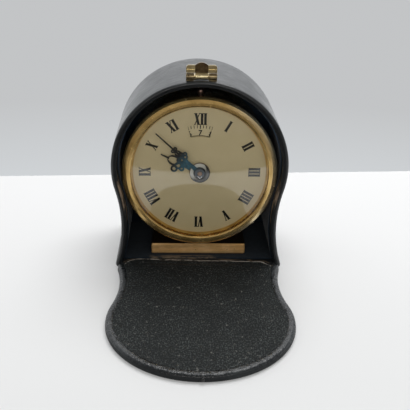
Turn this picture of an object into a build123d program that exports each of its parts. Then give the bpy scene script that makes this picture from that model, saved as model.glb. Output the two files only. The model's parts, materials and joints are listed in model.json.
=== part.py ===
from build123d import *
import os
from math import atan2, cos, degrees, hypot, radians, sin, sqrt

# Travel alarm clock: a brass drum clock on a bar foot, standing in a lined leather horseshoe case.
# Frame: millimetres, +Z up, the dial faces -Y, origin at the centre of the case's underside.
# The clock is drawn about its own axis first: +Z there points at the viewer and Z = 0 is the dial.

# Clearances shared by all pieces
fit_gap = 0.05
running_gap = 0.05
level_gap = 0.3
cut_overrun = 1.0

# Time shown, as a share of twelve hours
time_shown_share = 0.8225

# Gear teeth, as shares of the module and of the tooth pitch
addendum_share = 0.85
dedendum_share = 1.1
tooth_root_share = 0.26

# Motion work that turns the hour hand from the minute hand
cannon_teeth = 12
minute_wheel_teeth = 36
minute_module = 0.25
minute_pinion_teeth = 10
hour_wheel_teeth = 40
wheel_thickness = 0.6
cannon_radius = 1.3
hour_pipe_wall = 0.65
minute_wheel_angle = 215
minute_post_radius = 0.5

# Alarm disc and the pinion that sets it
alarm_disc_teeth = 48
alarm_pinion_teeth = 6
alarm_disc_module = 1.0
alarm_disc_thickness = 0.4
alarm_setting_angle = 270
alarm_setting_radius = 0.8

# Going train
barrel_teeth = 48
centre_pinion_teeth = 8
barrel_module = 0.56
centre_teeth = 48
third_pinion_teeth = 6
centre_module = 0.46
third_teeth = 45
fourth_pinion_teeth = 6
third_module = 0.4
fourth_teeth = 60
escape_pinion_teeth = 6
fourth_module = 0.26
time_barrel_angle = 200
third_angle = 90
fourth_angle = 40
escape_angle = 150
barrel_length = 8.0
barrel_flange = 1.2
barrel_rim = 0.9
barrel_arbor_radius = 1.5
train_arbor_radius = 0.5
pivot_depth = 0.9
fourth_wheel_drop = 3.3
pinion_overhang = 0.25

# Lever escapement and balance
escape_teeth = 15
escape_radius = 4.0
escape_tooth_depth = 1.3
escape_rake_share = 0.55
escape_wheel_drop = 2.0
escape_thickness = 0.5
pallet_distance = 5.8
pallet_tip_gap = 0.3
pallet_spread = 2.6
pallet_arm_width = 0.9
pallet_hub_radius = 1.0
fork_gap = 0.5
fork_width = 0.7
balance_left = 14.0
balance_rise = 18.5
balance_radius = 6.4
balance_rim_width = 1.0
balance_thickness = 1.0
balance_arm_width = 1.1
balance_roller_radius = 1.1

# Alarm train and hammer
alarm_barrel_teeth = 36
strike_pinion_teeth = 6
alarm_barrel_module = 0.52
alarm_barrel_distance = 18.0
alarm_barrel_angle = -20
strike_angle = 60
strike_teeth = 14
strike_radius = 4.6
strike_tooth_depth = 1.0
hammer_right = 21.6
hammer_rise = 14.6
hammer_arm_length = 9.0
hammer_arm_angle = 120
hammer_arm_width = 1.4
hammer_head_radius = 2.0
hammer_head_length = 3.0
hammer_pallet_gap = 0.35
hammer_arm_thickness = 1.0

# Ratchets and clicks behind the back plate
ratchet_teeth = 12
ratchet_radius = 5.0
ratchet_tooth_depth = 0.8
ratchet_thickness = 0.8
click_length = 6.5
click_slant = 70
click_tip_width = 0.4
click_tip_gap = 0.35
click_seat_share = 0.2
click_hub_radius = 1.2
click_pin_radius = 0.6
click_angle = 110

# Movement plates
plate_thickness = 1.5
plate_margin = 2.55
movement_space = 12.0
barrel_end_gap = 0.7
pillar_radius = 1.6
pillar_inset = 3.1
pillar_angles = (20, 155, 235, 315)
plate_screw_radius = 1.9
plate_screw_height = 0.8
plate_screw_slot = 0.5
back_plate_inset = 1.5

# Drum, bezel, glass and dial
drum_wall = 1.0
drum_depth = 29.7
drum_front = 0.6
bezel_overhang = 2.2
bezel_skirt = 2.0
bezel_rim_back = 0.6
bezel_rim_front = 1.9
bezel_height = 3.5
bezel_crest_width = 1.1
bezel_lip = 0.4
bezel_lip_height = 0.5
bezel_slope = 0.7
dial_thickness = 0.5
dial_ring_height = 1.5
dial_ring_width = 1.7
dial_ring_slope = 0.6
dial_foot_radius = 0.6
dial_foot_inset = 2.6
dial_foot_angles = (30, 150, 250)
glass_thickness = 1.0
glass_rise = 3.7
window_outer = 22.3
window_inner = 16.9
window_half_angle = 14.8

# Hands
hand_thickness = 0.3
hand_lift = 0.65
hand_spacing = 0.5
hour_hand_length = 19.7
hour_hub_radius = 4.7
hour_hub_dome = 0.35
hour_neck_width = 3.4
hour_wire = 0.85
minute_hand_length = 27.3
minute_hub_radius = 2.9
minute_hub_dome = 0.4
minute_tail_radius = 4.6
minute_tail_shift = 2.0
minute_tail_overlap = 0.4
minute_neck_width = 2.2
minute_wire = 0.75
hand_tip_width = 0.5
hand_nut_radius = 1.0
hand_nut_height = 0.8
hand_post_radius = 0.55
# Scroll rings of each hand: sideways, along and radius, as shares of the hand's length
hour_scroll_shares = ((0.07, 0.52, 0.068), (0.175, 0.575, 0.062), (0.098, 0.42, 0.044))
minute_scroll_shares = ((0.036, 0.375, 0.035), (0.074, 0.41, 0.026), (0.028, 0.59, 0.02))
# Pierced spade of each hand: start, end and half width, as shares of the hand's length
hour_spade_shares = (0.52, 0.83, 0.1)
minute_spade_shares = (0.39, 0.58, 0.042)
hand_neck_end_share = 0.58

# Back cover, keys and knobs
cover_thickness = 1.0
cover_plug_depth = 2.0
cover_plug_wall = 1.0
sound_hole_radius = 1.3
sound_hole_count = 9
sound_hole_inset = 8.0
knob_space = 7.0
knob_gap = 0.5
knob_height = 4.0
knob_sides = 12
setting_knob_radius = 3.6
alarm_knob_radius = 3.0
knob_chamfer = 0.5
key_hub_radius = 2.4
key_hub_height = 3.0
key_wing_span = 13.0
key_wing_height = 3.6
key_wing_thickness = 1.4
key_wing_waist_share = 0.55

# Alarm stop button on top of the drum
button_setback = 7.0
button_radius = 1.8
button_height = 2.7
button_stem_radius = 1.0
button_stem_depth = 2.0
button_travel = 1.2
button_bush_radius = 2.1
button_bush_height = 0.4

# Bar foot
foot_width = 45.0
foot_height = 5.3
foot_depth = 24.0
foot_setback = 8.0
foot_chamfer = 0.5
neck_height = 2.2
saddle_width = 12.0
saddle_top_width = 17.0
saddle_length = 16.0
foot_screw_radius = 1.2
foot_screw_head_radius = 2.2
foot_screw_head_height = 1.4
foot_screw_spacing = 7.0
foot_screw_end = 1.0

# Leather case around the clock
clock_side_gap = 1.2
clock_top_gap = 4.9
dial_setback = 6.7
wall_thickness = 2.8
lining_thickness = 0.6
lining_setback = 4.2
waist_narrowing = 3.9
waist_height = 21.6
rim_chamfer = 0.9
back_thickness = 2.4
back_recess = 0.6
back_chamfer = 0.5

# Leather hinge and front flap
hinge_forward = 1.2
hinge_height = 2.4
hinge_bead_radius = 0.6
hinge_strip_thickness = 0.25
hinge_strip_reach = 3.6
hinge_strip_inset = 0.4
flap_thickness = 3.1
flap_inset = 0.8
flap_drop = 1.8
flap_hinge_gap = 0.25
flap_border = 3.4
flap_chamfer = 0.8
flap_lining_thickness = 0.6
flap_lining_drop = 0.2
keeper_radius = 0.7
keeper_height = 0.9
keeper_shank_radius = 0.4
keeper_shank_length = 2.4

# Brass hasp on top of the case
hasp_width = 13.2
hasp_axis_setback = 2.5
hasp_axis_rise = 1.5
hasp_knuckle_radius = 1.4
hasp_barrel_radius = 1.2
hasp_pin_radius = 0.6
hasp_knuckle_width = 3.3
hasp_knuckle_gap = 0.25
hasp_barrel_gap = 0.7
hasp_plate_thickness = 0.6
hasp_plate_depth = 9.0
hasp_leaf_thickness = 0.7
hasp_wing_height = 4.9
hasp_wing_round = 1.2
hasp_dome_height = 6.1
hasp_tab_width = 5.4
hasp_tab_depth = 0.25
hasp_bar_height = 1.4
hasp_bar_depth = 0.45
hasp_bar_inset = 0.3
hasp_rivet_radius = 0.9
hasp_rivet_height = 0.5
hasp_rivet_spacing = 8.0
hasp_rivet_inset = 2.0

# Levels along the clock's axis, from the dial towards the back
dial_back = -dial_thickness
alarm_disc_front = dial_back - level_gap
alarm_disc_back = alarm_disc_front - alarm_disc_thickness
hour_wheel_front = alarm_disc_back - level_gap
hour_wheel_back = hour_wheel_front - wheel_thickness
minute_wheel_front = hour_wheel_back - level_gap
minute_wheel_back = minute_wheel_front - wheel_thickness
plate_front = minute_wheel_back - level_gap
plate_back = plate_front - plate_thickness
back_plate_front = plate_back - movement_space
back_plate_back = back_plate_front - plate_thickness
barrel_front = plate_back - barrel_end_gap
barrel_back = barrel_front - barrel_length
flange_front = barrel_back + barrel_flange
centre_wheel_front = barrel_back - level_gap - level_gap
centre_wheel_back = centre_wheel_front - wheel_thickness
strike_wheel_front = centre_wheel_back - level_gap
strike_wheel_back = strike_wheel_front - wheel_thickness
third_wheel_front = barrel_front
third_wheel_back = third_wheel_front - wheel_thickness
fourth_wheel_front = third_wheel_back - fourth_wheel_drop
fourth_wheel_back = fourth_wheel_front - wheel_thickness
escape_front = fourth_wheel_back - escape_wheel_drop
escape_back = escape_front - escape_thickness
ratchet_front = back_plate_back - level_gap
ratchet_back = ratchet_front - ratchet_thickness
hammer_front = ratchet_front
hammer_back = hammer_front - hammer_arm_thickness
drum_back = -drum_depth
cover_back = drum_back - cover_thickness
knob_front = cover_back - knob_gap
knob_back = knob_front - knob_height
arbor_front = plate_back + pivot_depth
arbor_back = back_plate_front - pivot_depth

# Hand levels
hour_hand_back = hand_lift
hour_hand_front = hour_hand_back + hand_thickness
minute_hand_back = hour_hand_front + hour_hub_dome + hand_spacing - level_gap
minute_hand_front = minute_hand_back + hand_thickness
nut_back = minute_hand_front + minute_hub_dome
nut_front = nut_back + hand_nut_height


def pitch_radius(teeth, module):
    return teeth * module / 2


def mesh_distance(teeth_a, teeth_b, module):
    return pitch_radius(teeth_a + teeth_b, module)


def polar(distance, angle):
    return distance * cos(radians(angle)), distance * sin(radians(angle))


def shifted(start, distance, angle):
    across, up = polar(distance, angle)
    return start[0] + across, start[1] + up


# Arbor places seen from the front, about the clock's axis
motion_distance = mesh_distance(cannon_teeth, minute_wheel_teeth, minute_module)
hour_module = 2 * motion_distance / (minute_pinion_teeth + hour_wheel_teeth)
centre_at = (0, 0)
minute_wheel_at = polar(motion_distance, minute_wheel_angle)
alarm_mesh = mesh_distance(alarm_disc_teeth, alarm_pinion_teeth, alarm_disc_module)
alarm_setting_at = polar(alarm_mesh, alarm_setting_angle)
barrel_mesh = mesh_distance(barrel_teeth, centre_pinion_teeth, barrel_module)
time_barrel_at = polar(barrel_mesh, time_barrel_angle)
third_at = polar(mesh_distance(centre_teeth, third_pinion_teeth, centre_module), third_angle)
third_mesh = mesh_distance(third_teeth, fourth_pinion_teeth, third_module)
fourth_at = shifted(third_at, third_mesh, fourth_angle)
fourth_mesh = mesh_distance(fourth_teeth, escape_pinion_teeth, fourth_module)
escape_at = shifted(fourth_at, fourth_mesh, escape_angle)
balance_at = (-balance_left, balance_rise)
escape_to_balance = (balance_at[0] - escape_at[0], balance_at[1] - escape_at[1])
pallet_angle = degrees(atan2(escape_to_balance[1], escape_to_balance[0]))
pallet_at = shifted(escape_at, pallet_distance, pallet_angle)
fork_length = hypot(*escape_to_balance) - pallet_distance - balance_roller_radius - fork_gap
alarm_barrel_at = polar(alarm_barrel_distance, alarm_barrel_angle)
strike_mesh = mesh_distance(alarm_barrel_teeth, strike_pinion_teeth, alarm_barrel_module)
strike_at = shifted(alarm_barrel_at, strike_mesh, strike_angle)
hammer_at = (hammer_right, hammer_rise)
hammer_to_strike = (strike_at[0] - hammer_at[0], strike_at[1] - hammer_at[1])
hammer_pallet_length = hypot(*hammer_to_strike) - strike_radius - hammer_pallet_gap
hammer_pallet_angle = degrees(atan2(hammer_to_strike[1], hammer_to_strike[0]))

# Radii that grow outwards from the movement to the bezel
barrel_tip_radius = pitch_radius(barrel_teeth, barrel_module) + addendum_share * barrel_module
plate_radius = barrel_mesh + barrel_tip_radius + plate_margin
drum_bore = plate_radius + fit_gap
drum_radius = drum_bore + drum_wall
bezel_radius = drum_radius + bezel_overhang
dial_radius = plate_radius
visible_radius = dial_radius - dial_ring_width
glass_radius = dial_radius - bezel_lip / 2
pillar_ring = plate_radius - pillar_inset
hour_pipe_bore = cannon_radius + running_gap
hour_pipe_radius = hour_pipe_bore + hour_pipe_wall

# Case sizes that follow from the clock it holds
inner_skin = wall_thickness + lining_thickness
floor_top = inner_skin
arch_radius = bezel_radius + clock_side_gap + inner_skin
clock_height = floor_top + foot_height + neck_height + bezel_radius
case_height = clock_height + bezel_radius + clock_top_gap + inner_skin
arch_height = case_height - arch_radius
clock_depth = dial_setback + drum_depth + cover_thickness + knob_space
case_depth = clock_depth + lining_thickness + back_thickness + back_recess
front_y = -case_depth / 2
back_y = case_depth / 2
dial_y = front_y + dial_setback
waist_half = arch_radius - waist_narrowing
arch_over_waist = arch_height - waist_height
flare_radius = (waist_half**2 + arch_over_waist**2 - arch_radius**2) / (2 * waist_narrowing)
flare_x = waist_half + flare_radius

# Hinge line and flap in its closed place
hinge_y = front_y - hinge_forward
flap_inner_y = hinge_y + flap_thickness - hinge_height
flap_outer_y = flap_inner_y - flap_thickness
flap_foot = hinge_height + hinge_bead_radius + flap_hinge_gap
flap_pocket = flap_lining_thickness + flap_lining_drop

# Hasp axis
hasp_y = front_y + hasp_axis_setback
hasp_z = case_height + hasp_axis_rise

clock_place = Location(Plane((0, dial_y, clock_height), x_dir=(1, 0, 0), z_dir=(0, -1, 0)))
nodes = {}
upwards = (Align.CENTER, Align.CENTER, Align.MIN)
downwards = (Align.CENTER, Align.CENTER, Align.MAX)


def rod(radius, front, back):
    """A round bar along the clock's axis between two levels."""
    return Pos(0, 0, (front + back) / 2) * Cylinder(radius, front - back)


def tube(radius, bore, front, back):
    """A round bar with a through bore."""
    return rod(radius, front, back) - rod(bore, front + cut_overrun, back - cut_overrun)


def turned(*points):
    """A solid turned about the clock's axis from (radius, level) points."""
    return revolve(Plane.XZ * make_face(Polyline(*points, close=True)), Axis.Z)


def cut_flat(face, front, back):
    """A flat piece of a drawn outline between two levels."""
    return extrude(Pos(0, 0, back) * face, front - back)


def toothed(teeth, module, phase):
    """Outline of a gear whose first tooth points along the phase angle."""
    tip = pitch_radius(teeth, module) + addendum_share * module
    root = pitch_radius(teeth, module) - dedendum_share * module
    corners = ((root, -tooth_root_share), (tip, 0), (root, tooth_root_share))
    points = [polar(r, phase + 360 * (i + share) / teeth) for i in range(teeth) for r, share in corners]
    return make_face(Polyline(*points, close=True))


def saw_toothed(teeth, tip, depth, rake_share):
    """Outline of a wheel whose teeth have one steep side."""
    step = 360 / teeth
    points = []
    for i in range(teeth):
        points.append(polar(tip, step * i))
        points.append(polar(tip - depth, step * (i + 1 - rake_share)))
    return make_face(Polyline(*points, close=True))


def gap_phase(teeth, angle):
    """Phase that turns a gap of a gear towards an angle."""
    return angle + 180 / teeth


def bar(width, length, angle):
    """A flat bar outline from the origin along an angle, with a rounded far end."""
    body = Pos(length / 2, 0) * Rectangle(length, width)
    return Rot(0, 0, angle) * (body + Pos(length, 0) * Circle(width / 2))


def on_clock(name, part, place=centre_at):
    """Keep a piece drawn about an arbor, moved to its place in the case."""
    nodes[name] = clock_place * (Pos(place[0], place[1], 0) * part)


def case_outline(inset, bottom, drop=0):
    """Horseshoe outline, drawn in from the outside, cut level at the bottom, its arch lowered by a drop."""
    arch = arch_radius - inset
    arch_z = arch_height - drop
    span = hypot(flare_x, arch_z - waist_height)
    flare = span - arch
    join_x = arch * flare_x / span
    join_z = arch_z - arch * (arch_z - waist_height) / span
    corner_x = flare_x - sqrt(flare**2 - (waist_height - bottom) ** 2)
    middle_z = (bottom + join_z) / 2
    middle_x = flare_x - sqrt(flare**2 - (waist_height - middle_z) ** 2)
    right = ThreePointArc((corner_x, bottom), (middle_x, middle_z), (join_x, join_z))
    top = ThreePointArc((join_x, join_z), (0, arch_z + arch), (-join_x, join_z))
    left = ThreePointArc((-join_x, join_z), (-middle_x, middle_z), (-corner_x, bottom))
    return make_face(right + top + left + Line((-corner_x, bottom), (corner_x, bottom)))


def upright(face, front, back):
    """A solid with an upright outline between a front and a back plane."""
    return extrude(Plane.XZ.offset(-back) * face, back - front)


# Leather case: a ring shell, a back panel let into it, and the velvet inside
shell = upright(case_outline(0, 0), front_y, back_y)
ends = shell.faces().sort_by(Axis.Y)
shell = chamfer(ends[0].edges() + ends[-1].edges(), rim_chamfer)
shell -= upright(case_outline(wall_thickness, wall_thickness), front_y - cut_overrun, back_y + cut_overrun)
mouth_inset = wall_thickness - rim_chamfer
wide_mouth = Plane.XZ.offset(-front_y) * case_outline(mouth_inset, mouth_inset)
mouth = Plane.XZ.offset(-front_y - rim_chamfer) * case_outline(wall_thickness, wall_thickness)
nodes["case_shell"] = shell - loft([wide_mouth, mouth], ruled=True)
panel_back = back_y - back_recess
panel_front = panel_back - back_thickness
panel = upright(case_outline(wall_thickness, wall_thickness), panel_front, panel_back)
nodes["case_back"] = chamfer(panel.faces().sort_by(Axis.Y)[-1].edges(), back_chamfer)
velvet_back = panel_front - lining_thickness
velvet_front = front_y + lining_setback
velvet = upright(case_outline(wall_thickness, wall_thickness), velvet_front, velvet_back)
velvet -= upright(case_outline(inner_skin, floor_top), velvet_front - cut_overrun, velvet_back + cut_overrun)
nodes["case_lining"] = velvet
nodes["back_lining"] = upright(case_outline(wall_thickness, wall_thickness), velvet_back, panel_front)

# Leather hinge: a strip glued on the case floor that ends in the rolled crease the flap turns about
inner_flare = flare_radius + wall_thickness
strip_half = flare_x - sqrt(inner_flare**2 - (waist_height - wall_thickness) ** 2) - hinge_strip_inset
strip_back = front_y + hinge_strip_reach
strip_side = Rectangle(strip_back - hinge_y, hinge_strip_thickness, align=(Align.MIN, Align.MIN))
strip_side = Pos(hinge_y, wall_thickness) * strip_side
strip_side += Pos(hinge_y, hinge_height) * Circle(hinge_bead_radius)
nodes["hinge_strip"] = extrude(Plane.YZ * strip_side, strip_half, both=True)

# Flap, drawn closed and then laid open about the hinge line
hinge_axis = Axis((0, hinge_y, hinge_height), (1, 0, 0))
flap = upright(case_outline(flap_inset, flap_foot, flap_drop), flap_outer_y, flap_inner_y)
flap_sides = flap.faces().sort_by(Axis.Y)
flap = chamfer(flap_sides[0].edges() + flap_sides[-1].edges(), flap_chamfer)
pocket_floor = flap_inner_y - flap_pocket
pocket_inset = flap_inset + flap_border
flap -= upright(case_outline(pocket_inset, 0, flap_drop), pocket_floor, flap_inner_y + cut_overrun)
suede_face = case_outline(pocket_inset + fit_gap, flap_foot, flap_drop)
suede = upright(suede_face, pocket_floor, pocket_floor + flap_lining_thickness)
flap_top = case_height - flap_inset - flap_drop
flap_middle_y = (flap_inner_y + flap_outer_y) / 2
shank = Cylinder(keeper_shank_radius, keeper_shank_length, align=downwards)
keeper_head = Cylinder(keeper_radius, keeper_height, align=upwards)
keeper_head = chamfer(keeper_head.edges().group_by(Axis.Z)[-1], keeper_height / 2)
keeper = Pos(0, flap_middle_y, flap_top) * (shank + keeper_head)
flap -= Pos(0, flap_middle_y, flap_top) * shank
nodes["flap_board"] = flap.rotate(hinge_axis, 90)
nodes["flap_lining"] = suede.rotate(hinge_axis, 90)
nodes["keeper_stud"] = keeper.rotate(hinge_axis, 90)

# Hasp base: a plate bent to the arch, its front corners rolled up into two knuckles
plate_front_y = hasp_y + hasp_knuckle_radius + hasp_knuckle_gap
bent = Circle(arch_radius + hasp_plate_thickness) - Circle(arch_radius)
bent &= Pos(0, arch_radius) * Rectangle(hasp_width, arch_radius)
base = upright(Pos(0, arch_height) * bent, plate_front_y, plate_front_y + hasp_plate_depth)
knuckle_x = (hasp_width - hasp_knuckle_width) / 2
web_length = plate_front_y - hasp_y + hasp_plate_thickness
web = Rectangle(web_length, hasp_axis_rise + hasp_plate_thickness, align=(Align.MIN, Align.MAX))
knuckle = Circle(hasp_knuckle_radius) + Pos(0, -hasp_axis_rise + hasp_plate_thickness) * web
curl = extrude(Plane.YZ * Pos(hasp_y, hasp_z) * knuckle, hasp_knuckle_width / 2, both=True)
under_arch = upright(Pos(0, arch_height) * Circle(arch_radius), front_y - cut_overrun, back_y)
for side in (-1, 1):
    base += Pos(side * knuckle_x, 0, 0) * curl - under_arch
pin_bore = extrude(Plane.YZ * Pos(hasp_y, hasp_z) * Circle(hasp_pin_radius), hasp_width, both=True)
rivet_y = plate_front_y + hasp_plate_depth - hasp_rivet_inset
rivet_drop = arch_radius - sqrt(arch_radius**2 - (hasp_rivet_spacing / 2) ** 2)
rivet = Cylinder(hasp_rivet_radius, hasp_rivet_height, align=upwards)
rivet = chamfer(rivet.edges().group_by(Axis.Z)[-1], hasp_rivet_height / 2)
rivet_z = case_height + hasp_plate_thickness - rivet_drop
rivet_tilt = degrees(atan2(hasp_rivet_spacing / 2, arch_radius))
rivet_x = hasp_rivet_spacing / 2
nodes["hasp_rivets"] = Compound(children=[
    Pos(side * rivet_x, rivet_y, rivet_z) * Rot(0, side * rivet_tilt, 0) * rivet for side in (-1, 1)
])
nodes["hasp_base"] = base - pin_bore
pin_face = Pos(hasp_y, hasp_z) * Circle(hasp_pin_radius)
nodes["hasp_pin"] = extrude(Plane.YZ * pin_face, hasp_width / 2, both=True)

# Hasp leaf, raised: a barrel between the knuckles, two wings and a domed tab between them
barrel_width = hasp_width - 2 * (hasp_knuckle_width + hasp_barrel_gap)
leaf = extrude(Plane.YZ * Pos(hasp_y, hasp_z) * Circle(hasp_barrel_radius), barrel_width / 2, both=True)
leaf_front = hasp_y - hasp_leaf_thickness / 2
leaf_back = hasp_y + hasp_leaf_thickness / 2
wing_bottom = hasp_knuckle_radius + hasp_knuckle_gap
standing = (Align.CENTER, Align.MIN)
wing = Pos(0, wing_bottom) * Rectangle(hasp_width, hasp_wing_height - wing_bottom, align=standing)
wing = fillet(wing.vertices().group_by(Axis.Y)[-1], hasp_wing_round)
tab = Rectangle(hasp_tab_width, hasp_wing_height, align=standing)
dome_base = Line((-hasp_tab_width / 2, hasp_wing_height), (hasp_tab_width / 2, hasp_wing_height))
tab += make_face(dome_base + ThreePointArc(dome_base @ 1, (0, hasp_dome_height), dome_base @ 0))
leaf += upright(Pos(0, hasp_z) * (wing + tab), leaf_front, leaf_back)
tab_skirt = Pos(0, wing_bottom) * Rectangle(hasp_width, hasp_dome_height, align=standing)
leaf += upright(Pos(0, hasp_z) * (tab & tab_skirt), leaf_front - hasp_tab_depth, leaf_front)
bar_width = (hasp_width - hasp_tab_width) / 2 - 2 * hasp_bar_inset
for side in (-1, 1):
    wing_bar = Rectangle(bar_width, hasp_bar_height, align=standing)
    wing_bar = Pos(side * (hasp_width + hasp_tab_width) / 4, hasp_z + wing_bottom) * wing_bar
    leaf += upright(wing_bar, leaf_front - hasp_bar_depth, leaf_front)
leaf_bore = Pos(hasp_y, hasp_z) * Circle(hasp_pin_radius + running_gap)
nodes["hasp_leaf"] = leaf - extrude(Plane.YZ * leaf_bore, hasp_width, both=True)

# Bar foot with a saddle under the drum
foot_front_y = front_y + foot_setback
foot_top = floor_top + foot_height
foot_middle_y = foot_front_y + foot_depth / 2
foot = Pos(0, foot_middle_y, floor_top + foot_height / 2) * Box(foot_width, foot_depth, foot_height)
foot = chamfer(foot.edges(), foot_chamfer)
saddle_front_y = dial_y + bezel_skirt + level_gap
saddle_back_y = saddle_front_y + saddle_length
saddle_rise = clock_height - sqrt(drum_radius**2 - (saddle_top_width / 2) ** 2)
saddle_points = (
    (-saddle_width / 2, foot_top - foot_chamfer),
    (saddle_width / 2, foot_top - foot_chamfer),
    (saddle_top_width / 2, saddle_rise),
    (-saddle_top_width / 2, saddle_rise),
)
foot += upright(make_face(Polyline(*saddle_points, close=True)), saddle_front_y, saddle_back_y)
foot -= upright(Pos(0, clock_height) * Circle(drum_radius), front_y, back_y)
screw_top = clock_height - drum_bore + foot_screw_end
screw_length = screw_top - floor_top - level_gap
screw = Cylinder(foot_screw_radius, screw_length, align=upwards)
screw += Cylinder(foot_screw_head_radius, foot_screw_head_height, align=upwards)
screw_middle_y = (saddle_front_y + saddle_back_y) / 2
screw_half_span = foot_screw_spacing / 2
screw_places = [Pos(0, screw_middle_y + side * screw_half_span, floor_top + level_gap) for side in (-1, 1)]
shank_hole = Cylinder(foot_screw_radius, screw_length, align=upwards)
head_hole = Cylinder(foot_screw_head_radius, foot_screw_head_height + level_gap, align=upwards)
for place in screw_places:
    foot -= place * (shank_hole + Pos(0, 0, -level_gap) * head_hole)
nodes["foot_bar"] = foot
nodes["foot_screws"] = Compound(children=[place * screw for place in screw_places])

# Drum: a brass tube, drilled for the foot screws and the stop button
button_reach = drum_radius + button_bush_height
button_foot = Pos(0, dial_y + button_setback, clock_height)
stem_way = button_foot * Cylinder(button_stem_radius + running_gap, button_reach + cut_overrun, align=upwards)
drum = clock_place * tube(drum_radius, drum_bore, drum_front, drum_back)
for place in screw_places:
    drum -= place * shank_hole
nodes["drum_case"] = drum - stem_way
bush = button_foot * Cylinder(button_bush_radius, button_reach, align=upwards)
bush -= upright(Pos(0, clock_height) * Circle(drum_radius), front_y, back_y)
nodes["button_bush"] = bush - stem_way

# Stop button: a domed head on a stem that dips into the drum
head_bottom = clock_height + button_reach + button_travel + level_gap
button_side = button_height - button_radius
button_arc = ThreePointArc(
    (button_radius, button_side),
    (button_radius * cos(radians(45)), button_side + button_radius * sin(radians(45))),
    (0, button_height),
)
button_sides = Polyline((0, button_height), (0, 0), (button_radius, 0), (button_radius, button_side))
button_head = revolve(Plane.XZ * make_face(button_arc + button_sides), Axis.Z)
stem_length = head_bottom - clock_height - drum_bore + button_stem_depth
button_head += Cylinder(button_stem_radius, stem_length, align=downwards)
nodes["stop_button"] = Pos(0, dial_y + button_setback, head_bottom) * button_head

# Bezel, glass, dial ring and dial
lip_bottom = dial_ring_height + glass_thickness + level_gap / 2
lip_top = lip_bottom + bezel_lip_height
crest_outer = bezel_radius - bezel_overhang
crest_inner = crest_outer - bezel_crest_width
on_clock("bezel", turned(
    (drum_radius + fit_gap, -bezel_skirt),
    (bezel_radius - bezel_slope, -bezel_skirt),
    (bezel_radius, -bezel_rim_back),
    (bezel_radius, bezel_rim_front),
    (bezel_radius - bezel_slope, bezel_height - bezel_slope),
    (crest_outer, bezel_height),
    (crest_inner, bezel_height),
    (glass_radius - bezel_lip, lip_top),
    (glass_radius - bezel_lip, lip_bottom),
    (glass_radius + fit_gap, lip_bottom),
    (glass_radius + fit_gap, drum_front + fit_gap),
    (drum_radius + fit_gap, drum_front + fit_gap),
))
glass_edge = dial_ring_height + glass_thickness
dome_radius = (glass_radius**2 + glass_rise**2) / (2 * glass_rise)
half_way = glass_radius / 2
half_rise = glass_rise - dome_radius + sqrt(dome_radius**2 - half_way**2)
outside = ThreePointArc(
    (0, glass_edge + glass_rise),
    (half_way, glass_edge + half_rise),
    (glass_radius, glass_edge),
)
inside = ThreePointArc(
    (glass_radius, dial_ring_height),
    (half_way, dial_ring_height + half_rise),
    (0, dial_ring_height + glass_rise),
)
glass_side = outside + Line(outside @ 1, inside @ 0) + inside + Line(inside @ 1, outside @ 0)
on_clock("crystal", revolve(Plane.XZ * make_face(glass_side), Axis.Z))
on_clock("dial_ring", turned(
    (visible_radius, 0),
    (dial_radius - bezel_lip, 0),
    (dial_radius - bezel_lip, dial_ring_height),
    (visible_radius + dial_ring_slope, dial_ring_height),
))
window_edges = [polar(r, 90 + side * window_half_angle) for r, side in (
    (window_inner, 1), (window_inner, -1), (window_outer, -1), (window_outer, 1)
)]
window = make_face(
    ThreePointArc(window_edges[0], (0, window_inner), window_edges[1])
    + Line(window_edges[1], window_edges[2])
    + ThreePointArc(window_edges[2], (0, window_outer), window_edges[3])
    + Line(window_edges[3], window_edges[0])
)
dial = rod(dial_radius, 0, dial_back) - cut_flat(window, cut_overrun, dial_back - cut_overrun)
dial -= rod(hour_pipe_radius + level_gap, cut_overrun, dial_back - cut_overrun)
dial_foot = rod(dial_foot_radius, dial_back, plate_front)
for angle in dial_foot_angles:
    dial += Pos(*polar(dial_radius - dial_foot_inset, angle), 0) * dial_foot
on_clock("dial", dial)


def filigree(length, hub_radius, neck_width, wire, scroll_shares, spade_shares):
    """Outline of a pierced hand: hub, neck, pairs of scroll rings, an open spade and a needle."""
    neck_end = hand_neck_end_share * length
    spade_start, spade_end, spade_half = (share * length for share in spade_shares)
    neck = make_face(Polyline(
        (-neck_width / 2, 0), (neck_width / 2, 0), (wire / 2, neck_end), (-wire / 2, neck_end), close=True
    ))
    hand = Circle(hub_radius) + neck
    for across, along, radius in scroll_shares:
        ring = Circle(radius * length + wire / 2) - Circle(radius * length - wire / 2)
        for side in (-1, 1):
            hand += Pos(side * across * length, along * length) * ring
    spade_middle = (spade_start + spade_end) / 2
    for side in (-1, 1):
        bulges = [side * (spade_half + edge * wire / 2) for edge in (-1, 1)]
        arcs = [ThreePointArc((0, spade_start), (bulge, spade_middle), (0, spade_end)) for bulge in bulges]
        hand += make_face(arcs[0] + arcs[1])
    needle = Polyline(
        (-wire / 2, spade_end - wire),
        (wire / 2, spade_end - wire),
        (hand_tip_width / 2, length),
        (-hand_tip_width / 2, length),
        close=True,
    )
    return hand + make_face(needle)


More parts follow.
